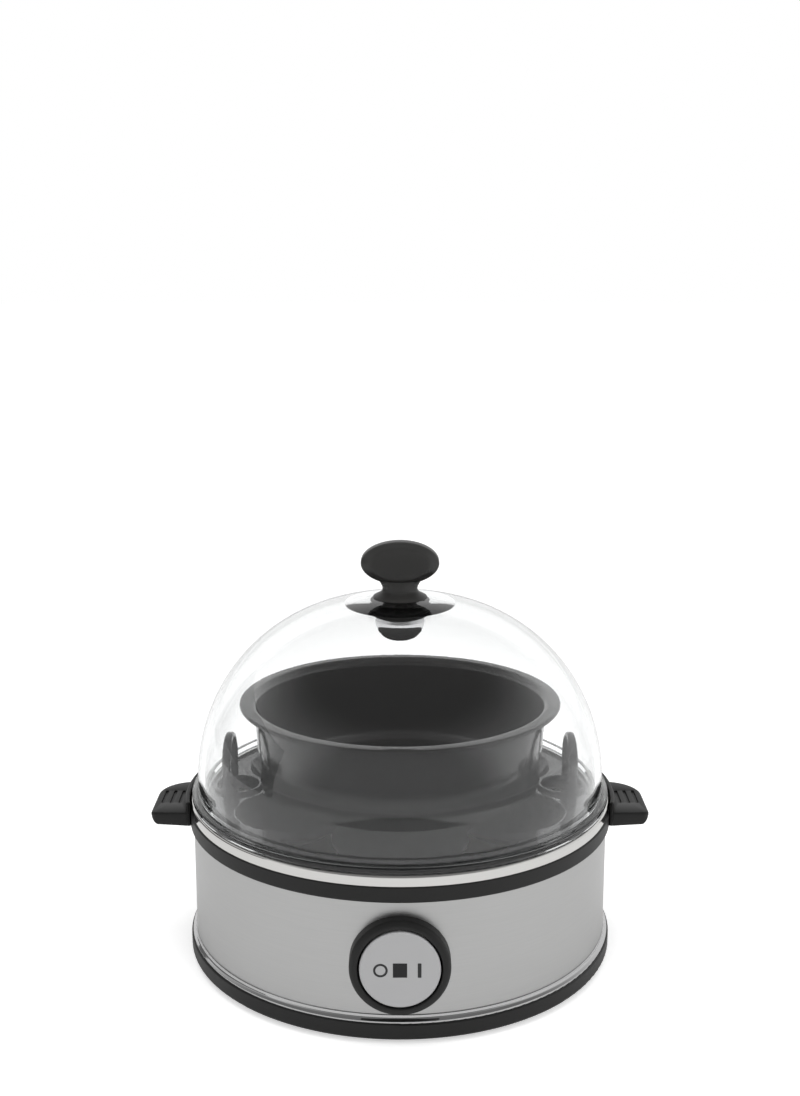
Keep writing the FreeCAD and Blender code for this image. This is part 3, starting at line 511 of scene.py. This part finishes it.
def buildBowl():
    sheet, foot = bowl["sheet"], bowl["foot"]
    floor = zTray + sheet
    raised = floor + bowl["raise"]
    brim = zTray + bowl["height"]
    inside = [(0, raised, 0), (foot, raised, bowl["footRound"]),
              (foot + bowl["footSlope"], floor, bowl["footRound"]),
              (bowl["base"] - sheet, floor, bowl["baseRound"]),
              (bowl["wall"] - sheet + bowl["flare"], brim, bowl["lipRound"]), (bowl["rim"], brim, 0)]
    corners = bentSheet(inside, sheet)
    for k in (len(inside) - 1, len(inside)):
        corners[k] = (*corners[k][:2], bowl["rimRound"])
    profile = roundCorners(corners)
    turnBack = max(range(len(profile)), key=lambda k: profile[k][0])

    def paint(r, z, k):
        return 0 if k < turnBack else 1

    bm = bmesh.new()
    lathe(bm, profile, bowl["steps"], paint)
    addPiece("bowlShell", bm, "bowl", [finishes["bowlGloss"], finishes["bowlSatin"]],
             ["poaching_bowl"])


buildBowl()

# dome: two tangent arcs, a rounded bead that stands on the rim and a skirt inside it
dome = {"radius": 80.0, "sideArc": 69.6, "topArc": 102.3, "wall": 2.5, "skirt": 79.1, "skirtWall": 2.1,
        "bead": 82.4, "beadHeight": 2.6, "sideRise": 11.0, "seat": 21.0, "bore": 2.7, "beadFillet": 0.6,
        "beadRound": 0.7, "skirtFillet": 0.3, "skirtRound": 0.5, "topSteps": 34, "sideSteps": 40,
        "seatSteps": 24, "steps": 256}


def buildDome():
    radius, sideArc, topArc = dome["radius"], dome["sideArc"], dome["topArc"]
    sideX = radius - sideArc
    zSide = zDome + dome["sideRise"]
    zTop = zSide - math.sqrt((topArc - sideArc) ** 2 - sideX ** 2)
    meet = math.atan2(zSide - zTop, sideX)
    topIn = topArc - dome["wall"]
    sideIn = sideArc - dome["wall"]
    seatTurn = math.acos(dome["seat"] / topIn)
    boreTurn = math.acos(dome["bore"] / topArc)
    zSeat = zTop + topIn * math.sin(seatTurn)
    outside = arcBetween((0, zTop), topArc, boreTurn, meet, dome["topSteps"])
    outside += arcBetween((sideX, zSide), sideArc, meet, 0, dome["sideSteps"])[1:]
    zBead = zRim + dome["beadHeight"]
    skirt, skirtIn = dome["skirt"], dome["skirt"] - dome["skirtWall"]
    foot = roundCorners([(radius, zSide, 0), (radius, zBead, dome["beadFillet"]),
                         (dome["bead"], zBead, dome["beadRound"]), (dome["bead"], zRim, dome["beadRound"]),
                         (skirt, zRim, dome["skirtFillet"]), (skirt, zDome, dome["skirtRound"]),
                         (skirtIn, zDome, dome["skirtRound"]), (skirtIn, zRim, 0)], closed=False)
    inside = arcBetween((sideX, zSide), sideIn, 0, meet, dome["sideSteps"])
    inside += arcBetween((0, zTop), topIn, meet, seatTurn, dome["seatSteps"])[1:]
    profile = outside + foot[1:] + inside + [(dome["bore"], zSeat)]
    bm = bmesh.new()
    lathe(bm, profile, dome["steps"])
    addPiece("domeShell", bm, "lid", [finishes["clearDome"]], ["lid_dome"])
    return zTop + topArc


zCrown = buildDome()
print("dish, bowl and dome turned")

# knob: an oval paddle with bevelled faces on a waisted neck whose foot lies on the dome;
# paddle rows are (share of the oval, half thickness), neck rows (half width, half depth, rise over the crown)
knob = {"halfWidth": 15.2, "halfHeight": 8.4, "gap": 0.02, "steps": 96, "neckSteps": 6, "sharpAngle": 40.0,
        "paddle": [(0.0, 5.65), (0.3775, 5.59), (0.695, 5.4), (0.755, 5.28), (0.815, 4.85), (0.94, 3.35),
                   (0.985, 2.8), (1.0, 2.1)],
        "neck": [(10.6, 10.2, -1.4), (10.4, 9.2, 0.0), (7.4, 5.6, 1.8), (6.9, 4.9, 3.6), (8.1, 4.3, 6.4),
                 (7.6, 2.4, 9.0)]}


def smoothSteps(keys, perSpan):
    # values between keys on a Catmull-Rom curve through them
    rows = []
    for i in range(len(keys) - 1):
        before = keys[max(i - 1, 0)]
        after = keys[min(i + 2, len(keys) - 1)]
        for k in range(perSpan):
            t = k / perSpan
            row = []
            for a, b, c, d in zip(before, keys[i], keys[i + 1], after):
                row.append(0.5 * (2 * b + (c - a) * t + (2 * a - 5 * b + 4 * c - d) * t * t
                                  + (3 * b - a - 3 * c + d) * t ** 3))
            rows.append(tuple(row))
    return rows + [tuple(keys[-1])]


def buildKnob():
    bm = bmesh.new()
    wide, high = knob["halfWidth"], knob["halfHeight"]
    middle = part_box("lid_knob")[1].z / mm - high
    turns = fullTurn(knob["steps"])
    paddle = []
    for s, y in knob["paddle"] + [(s, -y) for s, y in reversed(knob["paddle"])]:
        around = turns if s > 0 else [0.0]
        paddle.append(vertsAt(bm, [(s * wide * math.cos(t), -y, middle + s * high * math.sin(t))
                                   for t in around]))
    joinChain(bm, paddle)
    neck = []
    for a, b, rise in smoothSteps(knob["neck"], knob["neckSteps"]):
        points = []
        for t in turns:
            x, y = a * math.cos(t), b * math.sin(t)
            onDome = zCrown - dome["topArc"] + math.sqrt(dome["topArc"] ** 2 - x * x - y * y)
            points.append((x, y, max(zCrown + rise, onDome + knob["gap"])))
        neck.append(vertsAt(bm, points))
    closedChain(bm, neck)
    addPiece("knobGrip", bm, "lid", [finishes["knobSatin"]], ["lid_knob"],
             knob["sharpAngle"])


buildKnob()

# tray: one glossy moulding with cups, steam openings, collars, fins and finger loops
tray = {"radius": 76.2, "plate": 2.0, "foot": 57.5, "rimWall": 2.2, "rimFlat": 5.0, "rimEdge": 0.8,
        "footRound": 0.5, "rimSteps": 240, "pitch": 49.3, "mouth": 20.3, "middleMouth": 17.0, "depth": 12.0,
        "shell": 1.7, "lipFlat": 3.0, "lipRound": 1.1, "cupRows": 14, "cupSteps": 84, "collarX": 65.2,
        "collarHole": 8.6, "collarOut": 10.0, "collarHeight": 1.4, "collarRound": 0.5, "collarSteps": 72}
cupCount = 6
cupTurn = 360 / cupCount
cupAngles = [cupTurn * (i + 0.5) for i in range(cupCount)]
# steam openings: six round the hub and four along the rim, with turns in degrees
steam = {"edge": 0.55, "edgeSteps": 4, "underEdge": 0.33, "underSteps": 2, "hub": 25.0, "hubTurn": 15,
         "hubDip": 0.6, "web": 25.2, "innerTurn": 61, "innerEnd": 11.8, "outerTurn": 51, "outerEnd": 1.3,
         "rimIn": 9.4, "rimTurn": 12.4, "rimBulge": 3.2, "cornerTrim": 1.7, "alongRim": (60, 120, 240, 300)}


def polar(r, degrees):
    turn = math.radians(degrees)
    return Vector((r * math.cos(turn), r * math.sin(turn)))


def arcThrough(a, b, c, steps, trim):
    # points of the arc a-b-c, without a little at each end
    ab, ac = b - a, c - a
    area = 2 * ab.cross(ac)
    offset = Vector((ac.y * ab.length_squared - ab.y * ac.length_squared,
                     ab.x * ac.length_squared - ac.x * ab.length_squared)) / area
    centre = a + offset
    radius = offset.length
    first = math.atan2(a.y - centre.y, a.x - centre.x)
    sweep = (math.atan2(c.y - centre.y, c.x - centre.x) - first) % (2 * math.pi)
    through = (math.atan2(b.y - centre.y, b.x - centre.x) - first) % (2 * math.pi)
    if through > sweep:
        sweep -= 2 * math.pi
    cut = math.copysign(trim / radius, sweep)
    points = []
    for k in range(steps + 1):
        turn = first + cut + (sweep - 2 * cut) * k / steps
        points.append(centre + Vector((math.cos(turn), math.sin(turn))) * radius)
    return points


def softLoop(knots, trim, steps=20, cornerSteps=6):
    # closed line of arcs (corner, middle, corner, middle ...) with eased corners
    sides = []
    for i in range(0, len(knots), 2):
        corner = knots[(i + 2) % len(knots)]
        sides.append((corner, arcThrough(knots[i], knots[i + 1], corner, steps, trim)))
    loop = []
    for i, (corner, points) in enumerate(sides):
        loop += points
        a, b = points[-1], sides[(i + 1) % len(sides)][1][0]
        for k in range(1, cornerSteps):
            t = k / cornerSteps
            loop.append(a * (1 - t) ** 2 + corner * 2 * t * (1 - t) + b * t ** 2)
    return loop


def turned(loop, degrees):
    c, s = math.cos(math.radians(degrees)), math.sin(math.radians(degrees))
    return [Vector((p.x * c - p.y * s, p.x * s + p.y * c)) for p in loop]


def steamLoops():
    hub, web, pitch, trim = steam["hub"], steam["web"], tray["pitch"], steam["cornerTrim"]
    hubTurn, innerTurn = steam["hubTurn"], steam["innerTurn"]
    rimTurn, outerTurn = steam["rimTurn"], steam["outerTurn"]
    rim = tray["radius"] - steam["rimIn"]
    left, right = polar(pitch, cupTurn / 2), polar(pitch, -cupTurn / 2)
    inner = softLoop([polar(hub, -hubTurn), polar(hub - steam["hubDip"], 0), polar(hub, hubTurn),
                      left - polar(web, innerTurn), polar(pitch - steam["innerEnd"], 0),
                      right - polar(web, -innerTurn)], trim)
    outer = softLoop([polar(pitch - steam["outerEnd"], 0), right + polar(web, outerTurn),
                      polar(rim, -rimTurn), polar(rim + steam["rimBulge"], 0), polar(rim, rimTurn),
                      left + polar(web, -outerTurn)], trim)
    around = [turned(inner, cupTurn * i) for i in range(cupCount)]
    return around + [turned(outer, way) for way in steam["alongRim"]]


def outwards(loop):
    # unit vector away from the opening at each point
    area = sum(loop[i - 1].cross(loop[i]) for i in range(len(loop)))
    sign = 1 if area > 0 else -1
    ways = []
    for i in range(len(loop)):
        along = loop[(i + 1) % len(loop)] - loop[i - 1]
        ways.append(Vector((along.y, -along.x)).normalized() * sign)
    return ways


def offsetRings(bm, loop, stations):
    # the loop moved outwards to each (distance, height), joined into a wall
    ways = outwards(loop)
    rings = []
    for out, z in stations:
        spots = [p + way * out for p, way in zip(loop, ways)]
        rings.append(vertsAt(bm, [(spot.x, spot.y, z) for spot in spots]))
    joinChain(bm, rings)
    return rings


def openingRings(bm, loop):
    # rounded at the top and, less, at the underside
    edge, small, zUnder = steam["edge"], steam["underEdge"], zTray - tray["plate"]
    stations = [(edge * (1 - math.sin(t)), zTray - edge * (1 - math.cos(t)))
                for t in quarterTurn(steam["edgeSteps"])]
    stations += [(small * (1 - math.cos(t)), zUnder + small * (1 - math.sin(t)))
                 for t in quarterTurn(steam["underSteps"])]
    return offsetRings(bm, loop, stations)


def cupRings(bm, middle, mouth):
    # down the inside of a cup and back up its outside
    depth, rows = tray["depth"], tray["cupRows"]
    ball = (mouth ** 2 + depth ** 2) / (2 * depth)
    lift = ball - depth
    shell = ball + tray["shell"]
    first = math.asin(mouth / ball)
    last = math.acos((lift + tray["plate"]) / shell)
    inner, outer = [], []
    for k in range(1, rows + 1):
        turn = first * (1 - k / rows)
        inner.append((ball * math.sin(turn), zTray + lift - ball * math.cos(turn)))
    for k in range(rows + 1):
        turn = last * k / rows
        outer.append((shell * math.sin(turn), zTray + lift - shell * math.cos(turn)))
    lip = roundCorners([(mouth + tray["lipFlat"], zTray, 0), (mouth, zTray, tray["lipRound"]),
                        (*inner[0], 0)], closed=False)[1:-1]
    return lathe(bm, lip + inner + outer, tray["cupSteps"], middle=middle, closed=False)


def collarRings(bm, side):
    out, hole, soft = tray["collarOut"], tray["collarHole"], tray["collarRound"]
    high = zTray + tray["collarHeight"]
    profile = roundCorners([(out, zTray, 0), (out, high, soft), (hole, high, soft),
                            (hole, zTray - tray["plate"], 0)], closed=False)
    return lathe(bm, profile, tray["collarSteps"], middle=(side * tray["collarX"], 0), closed=False)


def rimRings(bm):
    radius, foot, soft = tray["radius"], tray["foot"], tray["footRound"]
    wallIn = radius - tray["rimWall"]
    profile = roundCorners([(radius - tray["rimFlat"], zTray, 0), (radius, zTray, tray["rimEdge"]),
                            (radius, foot, soft), (wallIn, foot, soft), (wallIn, zTray - tray["plate"], 0)],
                           closed=False)[1:]
    return lathe(bm, profile, tray["rimSteps"], closed=False)


def loopEdges(rings):
    edges = []
    for ring in rings:
        for i in range(len(ring)):
            edges.append(next(e for e in ring[i].link_edges if e.other_vert(ring[i]) is ring[i - 1]))
    return edges


def fillBetween(bm, rings, up):
    # flat face bounded by the rings, the first of them outermost
    bmesh.ops.triangle_fill(bm, use_beauty=True, edges=loopEdges(rings), normal=(0, 0, up))


def buildTrayTop():
    bm = bmesh.new()
    walls = [rimRings(bm)]
    walls += [cupRings(bm, polar(tray["pitch"], angle), tray["mouth"]) for angle in cupAngles]
    walls.append(cupRings(bm, (0, 0), tray["middleMouth"]))
    walls += [openingRings(bm, loop) for loop in steamLoops()]
    walls += [collarRings(bm, side) for side in (-1, 1)]
    fillBetween(bm, [rings[0] for rings in walls], 1)
    fillBetween(bm, [rings[-1] for rings in walls], -1)
    moulding = addPiece("trayMoulding", bm, "tray", [finishes["trayGloss"]],
                        ["egg_tray", "egg_cups"])
    shadeEvenly(moulding)


buildTrayTop()

fins = {"inner": 63.0, "outer": 69.2, "footIn": 63.4, "footOut": 67.6, "footRound": 1.6, "thick": 1.6,
        "top": 7.0, "outerRise": 3.0}


def buildFins():
    # short locating fins under the outer cups
    bm = bmesh.new()
    half = fins["thick"] / 2
    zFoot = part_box("egg_cups")[0].z / mm
    zTop = zTray - fins["top"]
    shape = roundCorners([(fins["inner"], zTop, 0), (fins["footIn"], zFoot, fins["footRound"]),
                          (fins["footOut"], zFoot, fins["footRound"]),
                          (fins["outer"], zTop + fins["outerRise"], 0)])
    for angle in cupAngles:
        along, across = polar(1.0, angle), polar(1.0, angle + 90)
        sides = []
        for shift in (-half, half):
            spots = [(along * r + across * shift, z) for r, z in shape]
            sides.append(vertsAt(bm, [(spot.x, spot.y, z) for spot, z in spots]))
        closedChain(bm, sides)
    addPiece("trayFins", bm, "tray", [finishes["trayGloss"]])


buildFins()

loops = {"x": 68.0, "width": 3.2, "out": 12.3, "thick": 2.6, "top": 22.5, "soft": 0.9, "sunk": 0.5,
         "legSteps": 5, "archSteps": 32, "sectionStep": 18.0}


def buildLoops():
    # upright hoops swept along a stilted arch
    bm = bmesh.new()
    middle = loops["out"] - loops["thick"] / 2
    spring = zTray + loops["top"] - loops["out"]
    leg = [zTray - loops["sunk"]]
    leg += [zTray + (spring - zTray) * k / loops["legSteps"] for k in range(1, loops["legSteps"])]
    path = [(-middle, z) for z in leg]
    path += arcBetween((0, spring), middle, math.pi, 0, loops["archSteps"])
    path += [(middle, z) for z in reversed(leg)]
    wide, thick = loops["width"] / 2, loops["thick"] / 2
    section = softBox((-wide, -thick), (wide, thick), loops["soft"], loops["sectionStep"])
    for side in (-1, 1):
        rings = []
        for y, z in path:
            onArch = z > spring
            way = Vector((y, z - spring)).normalized() if onArch else Vector((math.copysign(1, y), 0))
            rings.append(vertsAt(bm, [(side * loops["x"] + across, y + way.x * out, z + way.y * out)
                                      for across, out in section]))
        closedChain(bm, rings)
    addPiece("trayLoops", bm, "tray", [finishes["trayGloss"]], ["tray_loops"])


buildLoops()
print("tray moulded")

# side handles: a grooved grip, swept back behind, and an upstand along the dish rim;
# groove rows are (distance outwards, depth)
handle = {"root": 82.6, "half": 17.0, "top": 59.5, "tipDrop": 4.6, "thinnest": 2.25, "frontCorner": 2.5,
          "backCorner": 13.5, "edge": 0.9, "edgeSteps": 4, "grooves": (87.4, 90.8, 94.2),
          "grooveHalf": 0.6, "grooveLong": 6.5, "grooveEnd": 0.58, "grooveStep": 15.0,
          "grooveRows": ((0.25, 0.0), (0.08, 0.06), (0.0, 0.22), (-0.1, 0.6)),
          "standIn": 83.4, "standOut": 85.1, "standHalf": 17.8, "standEdge": 0.6, "standFoot": 0.2,
          "standPull": 0.45, "standSteps": 40, "sectionStep": 18.0}


def gripRings(bm, reach, foot):
    # rings round the grip from its flat top down to its underside, which lifts towards the tip
    half, top, edge, drop = handle["half"], handle["top"], handle["edge"], handle["tipDrop"]
    plan = roundCorners([(handle["root"], -half, 0), (reach, -half, handle["frontCorner"]),
                         (reach, half, handle["backCorner"]), (handle["root"], half, 0)])
    loop = [Vector(p) for p in plan]
    ways = outwards(loop)
    turns = quarterTurn(handle["edgeSteps"])
    stations = [(-edge * (1 - math.sin(t)), True, -edge * (1 - math.cos(t))) for t in turns]
    stations += [(-edge * (1 - math.cos(t)), False, edge * (1 - math.sin(t))) for t in turns]
    rings = []
    for out, atTop, lift in stations:
        points = []
        for p, way in zip(loop, ways):
            spot = p + way * out
            past = max(0.0, min(spot.x - (reach - drop), drop))
            under = foot + drop - math.sqrt(drop ** 2 - past ** 2)
            level = top if atTop else min(under, top - handle["thinnest"])
            points.append((spot.x, spot.y, level + lift))
        rings.append(vertsAt(bm, points))
    joinChain(bm, rings)
    return rings


def grooveRings(bm, x):
    half, reach = handle["grooveHalf"], handle["grooveLong"]
    plan = softBox((x - half, -reach), (x + half, reach), handle["grooveEnd"], handle["grooveStep"])
    stations = [(out, handle["top"] - down) for out, down in handle["grooveRows"]]
    rings = offsetRings(bm, [Vector(p) for p in plan], stations)
    bm.faces.new(rings[-1])
    return rings


def addStand(bm, foot, head):
    # upstand that follows the rim, drawn in a little at both ends
    near, far, soft, steps = handle["standIn"], handle["standOut"], handle["standEdge"], handle["standSteps"]
    section = roundCorners([(near, foot, handle["standFoot"]), (far, foot, soft), (far, head, soft),
                            (near, head, soft)], handle["sectionStep"])
    middle = ((near + far) / 2, (foot + head) / 2)
    wide = math.asin(handle["standHalf"] / far)
    rings = []
    for k in range(steps + 1):
        turn = -wide + 2 * wide * k / steps
        pull = handle["standPull"] if k in (0, steps) else 0.0
        points = []
        for r, z in section:
            r -= math.copysign(pull, r - middle[0])
            z -= math.copysign(pull, z - middle[1])
            points.append((r * math.cos(turn), r * math.sin(turn), z))
        rings.append(vertsAt(bm, points))
    closedChain(bm, rings)


def buildHandle(name, node, side):
    low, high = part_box(node)
    reach = max(abs(low.x), abs(high.x)) / mm
    foot, head = low.z / mm, high.z / mm
    bm = bmesh.new()
    grip = gripRings(bm, reach, foot)
    grooves = [grooveRings(bm, x) for x in handle["grooves"]]
    fillBetween(bm, [rings[0] for rings in [grip] + grooves], 1)
    bm.faces.new(grip[-1])
    addStand(bm, foot, head)
    for v in bm.verts:
        v.co.x *= side
    addPiece(name, bm, "base", [finishes["mattBlack"]], [node])


buildHandle("gripRight", "handle_right", 1)
buildHandle("gripLeft", "handle_left", -1)
print("handles shaped")

# marks on the rocker: a ring and a bar beside the square lens
marks = {"x": 6.8, "ringOut": 2.55, "ringIn": 1.75, "ringSteps": 48, "barWide": 1.3, "barHigh": 5.4,
         "barRound": 0.2, "barStep": 30.0, "proud": 0.03, "sunk": 0.1}


def buildMarks():
    face = -rockerLow.y / mm
    low, high = face - marks["sunk"], face + marks["proud"]
    inside, outside = marks["ringIn"], marks["ringOut"]
    bm = bmesh.new()
    lathe(bm, [(inside, low), (outside, low), (outside, high), (inside, high)], marks["ringSteps"],
          middle=(-marks["x"], 0))
    wide, tall = marks["barWide"] / 2, marks["barHigh"] / 2
    outline = softBox((marks["x"] - wide, -tall), (marks["x"] + wide, tall), marks["barRound"],
                      marks["barStep"])
    closedChain(bm, [vertsAt(bm, [(a, b, z) for a, b in outline]) for z in (low, high)])
    turnToFront(bm, zSwitch)
    addPiece("rockerMarks", bm, "rocker", [finishes["markInk"]])


buildMarks()
print("switch marked")

# studio: pale floor, white surround that reflections find dimmer overhead and on the camera's side,
# three soft lamps, and a dark and a grey card that only reflections see
studio = {"floorHalf": 6.0, "floorColour": 0.86, "floorRough": 0.9, "floorGlow": 0.5, "floorMirrorGlow": 0.15,
          "diffuseSky": 0.6, "dimLevel": 0.25, "dimAbove": (0.3, 0.85), "dimFront": (0.3, 0.75),
          "dimHorizon": (0.02, 0.22), "lampTarget": (0.0, 0.0, 0.1),
          "lamps": {"topSoft": {"at": (0.0, -0.1, 1.05), "size": 0.7, "watts": 3.2},
                    "leftSoft": {"at": (-0.75, -0.6, 0.6), "size": 0.5, "watts": 1.3},
                    "rightSoft": {"at": (0.75, -0.65, 0.5), "size": 0.8, "watts": 3.2}},
          "flags": {"tableFlag": {"at": (0.0, -1.05, 0.003), "aim": (0.0, -1.05, 1.0), "size": (0.6, 1.2),
                                  "grey": 0.0},
                    "leftCard": {"at": (-0.95, 0.2, 0.25), "aim": (0.0, 0.0, 0.25), "size": (1.2, 0.5),
                                 "grey": 0.2}}}


def eased(tree, value, low, high):
    # nought below low, one above high, with a soft climb between
    node = tree.nodes.new("ShaderNodeMapRange")
    node.interpolation_type = "SMOOTHSTEP"
    node.inputs["From Min"].default_value = low
    node.inputs["From Max"].default_value = high
    tree.links.new(value, node.inputs["Value"])
    return node.outputs["Result"]


def buildWorld():
    # white to the camera, dimmer in some reflections, and weaker as light on matt surfaces
    world = bpy.data.worlds.new("whiteSurround")
    scene.world = world
    world.use_nodes = True
    tree = world.node_tree
    background = tree.nodes["Background"]
    background.inputs["Color"].default_value = white
    light = tree.nodes.new("ShaderNodeLightPath")
    mirrored = mathNode(tree, "MAXIMUM", light.outputs["Is Glossy Ray"], light.outputs["Is Transmission Ray"])
    seen = mathNode(tree, "MAXIMUM", light.outputs["Is Camera Ray"], mirrored)
    rest = mathNode(tree, "MULTIPLY", mathNode(tree, "SUBTRACT", 1.0, seen), studio["diffuseSky"])
    place = tree.nodes.new("ShaderNodeTexCoord")
    split = tree.nodes.new("ShaderNodeSeparateXYZ")
    tree.links.new(place.outputs["Generated"], split.inputs[0])
    above = eased(tree, split.outputs["Z"], *studio["dimAbove"])
    towardsCamera = mathNode(tree, "MULTIPLY", split.outputs["Y"], -1.0)
    front = mathNode(tree, "MULTIPLY", eased(tree, towardsCamera, *studio["dimFront"]),
                     eased(tree, split.outputs["Z"], *studio["dimHorizon"]))
    dim = mathNode(tree, "MULTIPLY", mathNode(tree, "MAXIMUM", above, front), 1.0 - studio["dimLevel"])
    dim = mathNode(tree, "MULTIPLY", dim, mirrored)
    shown = mathNode(tree, "SUBTRACT", seen, dim)
    tree.links.new(mathNode(tree, "ADD", shown, rest), background.inputs["Strength"])


def glowingMatt(name, colour):
    # no highlights, and a white glow whose strength is set afterwards
    material, tree, shader = newMaterial(name)
    shader.inputs["Base Color"].default_value = colour
    shader.inputs["Specular IOR Level"].default_value = 0.0
    shader.inputs["Emission Color"].default_value = white
    return material, tree, shader


def addPanel(name, wide, high, material):
    bm = bmesh.new()
    corners = ((-1, -1), (1, -1), (1, 1), (-1, 1))
    bm.faces.new([bm.verts.new((x * wide / 2, y * high / 2, 0)) for x, y in corners])
    mesh = bpy.data.meshes.new(name)
    bm.to_mesh(mesh)
    bm.free()
    mesh.materials.append(material)
    panel = bpy.data.objects.new(name, mesh)
    scene.collection.objects.link(panel)
    return panel


def placeAimed(thing, at, target, axis):
    thing.location = at
    thing.rotation_mode = "QUATERNION"
    thing.rotation_quaternion = (Vector(target) - Vector(at)).to_track_quat(axis, "Y")


def buildFloor():
    grey = studio["floorColour"]
    material, tree, shader = glowingMatt("floorPaper", (grey, grey, grey, 1.0))
    shader.inputs["Roughness"].default_value = studio["floorRough"]
    light = tree.nodes.new("ShaderNodeLightPath")
    seen = mathNode(tree, "MAXIMUM", light.outputs["Is Camera Ray"], light.outputs["Is Transmission Ray"])
    seen = mathNode(tree, "MULTIPLY", seen, studio["floorGlow"])
    mirrored = mathNode(tree, "MULTIPLY", light.outputs["Is Glossy Ray"], studio["floorMirrorGlow"])
    tree.links.new(mathNode(tree, "ADD", seen, mirrored), shader.inputs["Emission Strength"])
    floor = addPanel("studioFloor", 2 * studio["floorHalf"], 2 * studio["floorHalf"], material)


def buildFlags():
    for name, values in studio["flags"].items():
        material, _, shader = glowingMatt(name + "Cloth", black)
        shader.inputs["Emission Strength"].default_value = values["grey"]
        flag = addPanel(name, *values["size"], material)
        placeAimed(flag, values["at"], values["aim"], "Z")
        flag.visible_camera = False
        flag.visible_diffuse = False
        flag.visible_transmission = False
        flag.visible_shadow = False


def buildLamps():
    for name, values in studio["lamps"].items():
        data = bpy.data.lights.new(name, "AREA")
        data.shape = "SQUARE"
        data.size = values["size"]
        data.energy = values["watts"]
        lamp = bpy.data.objects.new(name, data)
        scene.collection.objects.link(lamp)
        placeAimed(lamp, values["at"], studio["lampTarget"], "-Z")
        lamp.visible_camera = False
        lamp.visible_glossy = False
        lamp.visible_transmission = False


buildWorld()
buildFloor()
buildFlags()
buildLamps()

# camera fitted to the photograph: metres, degrees, and lens and sensor in millimetres
viewer = {"distance": 0.54468, "height": 0.27797, "tilt": 77.934, "lens": 47.3, "sensor": 36.0}


def buildCamera():
    data = bpy.data.cameras.new("photoCamera")
    data.sensor_fit = "VERTICAL"
    data.sensor_height = viewer["sensor"]
    data.lens = viewer["lens"]
    camera = bpy.data.objects.new("photoCamera", data)
    scene.collection.objects.link(camera)
    camera.location = (0, -viewer["distance"], viewer["height"])
    camera.rotation_euler = (math.radians(viewer["tilt"]), 0, 0)
    scene.camera = camera


buildCamera()
print("studio and camera set")
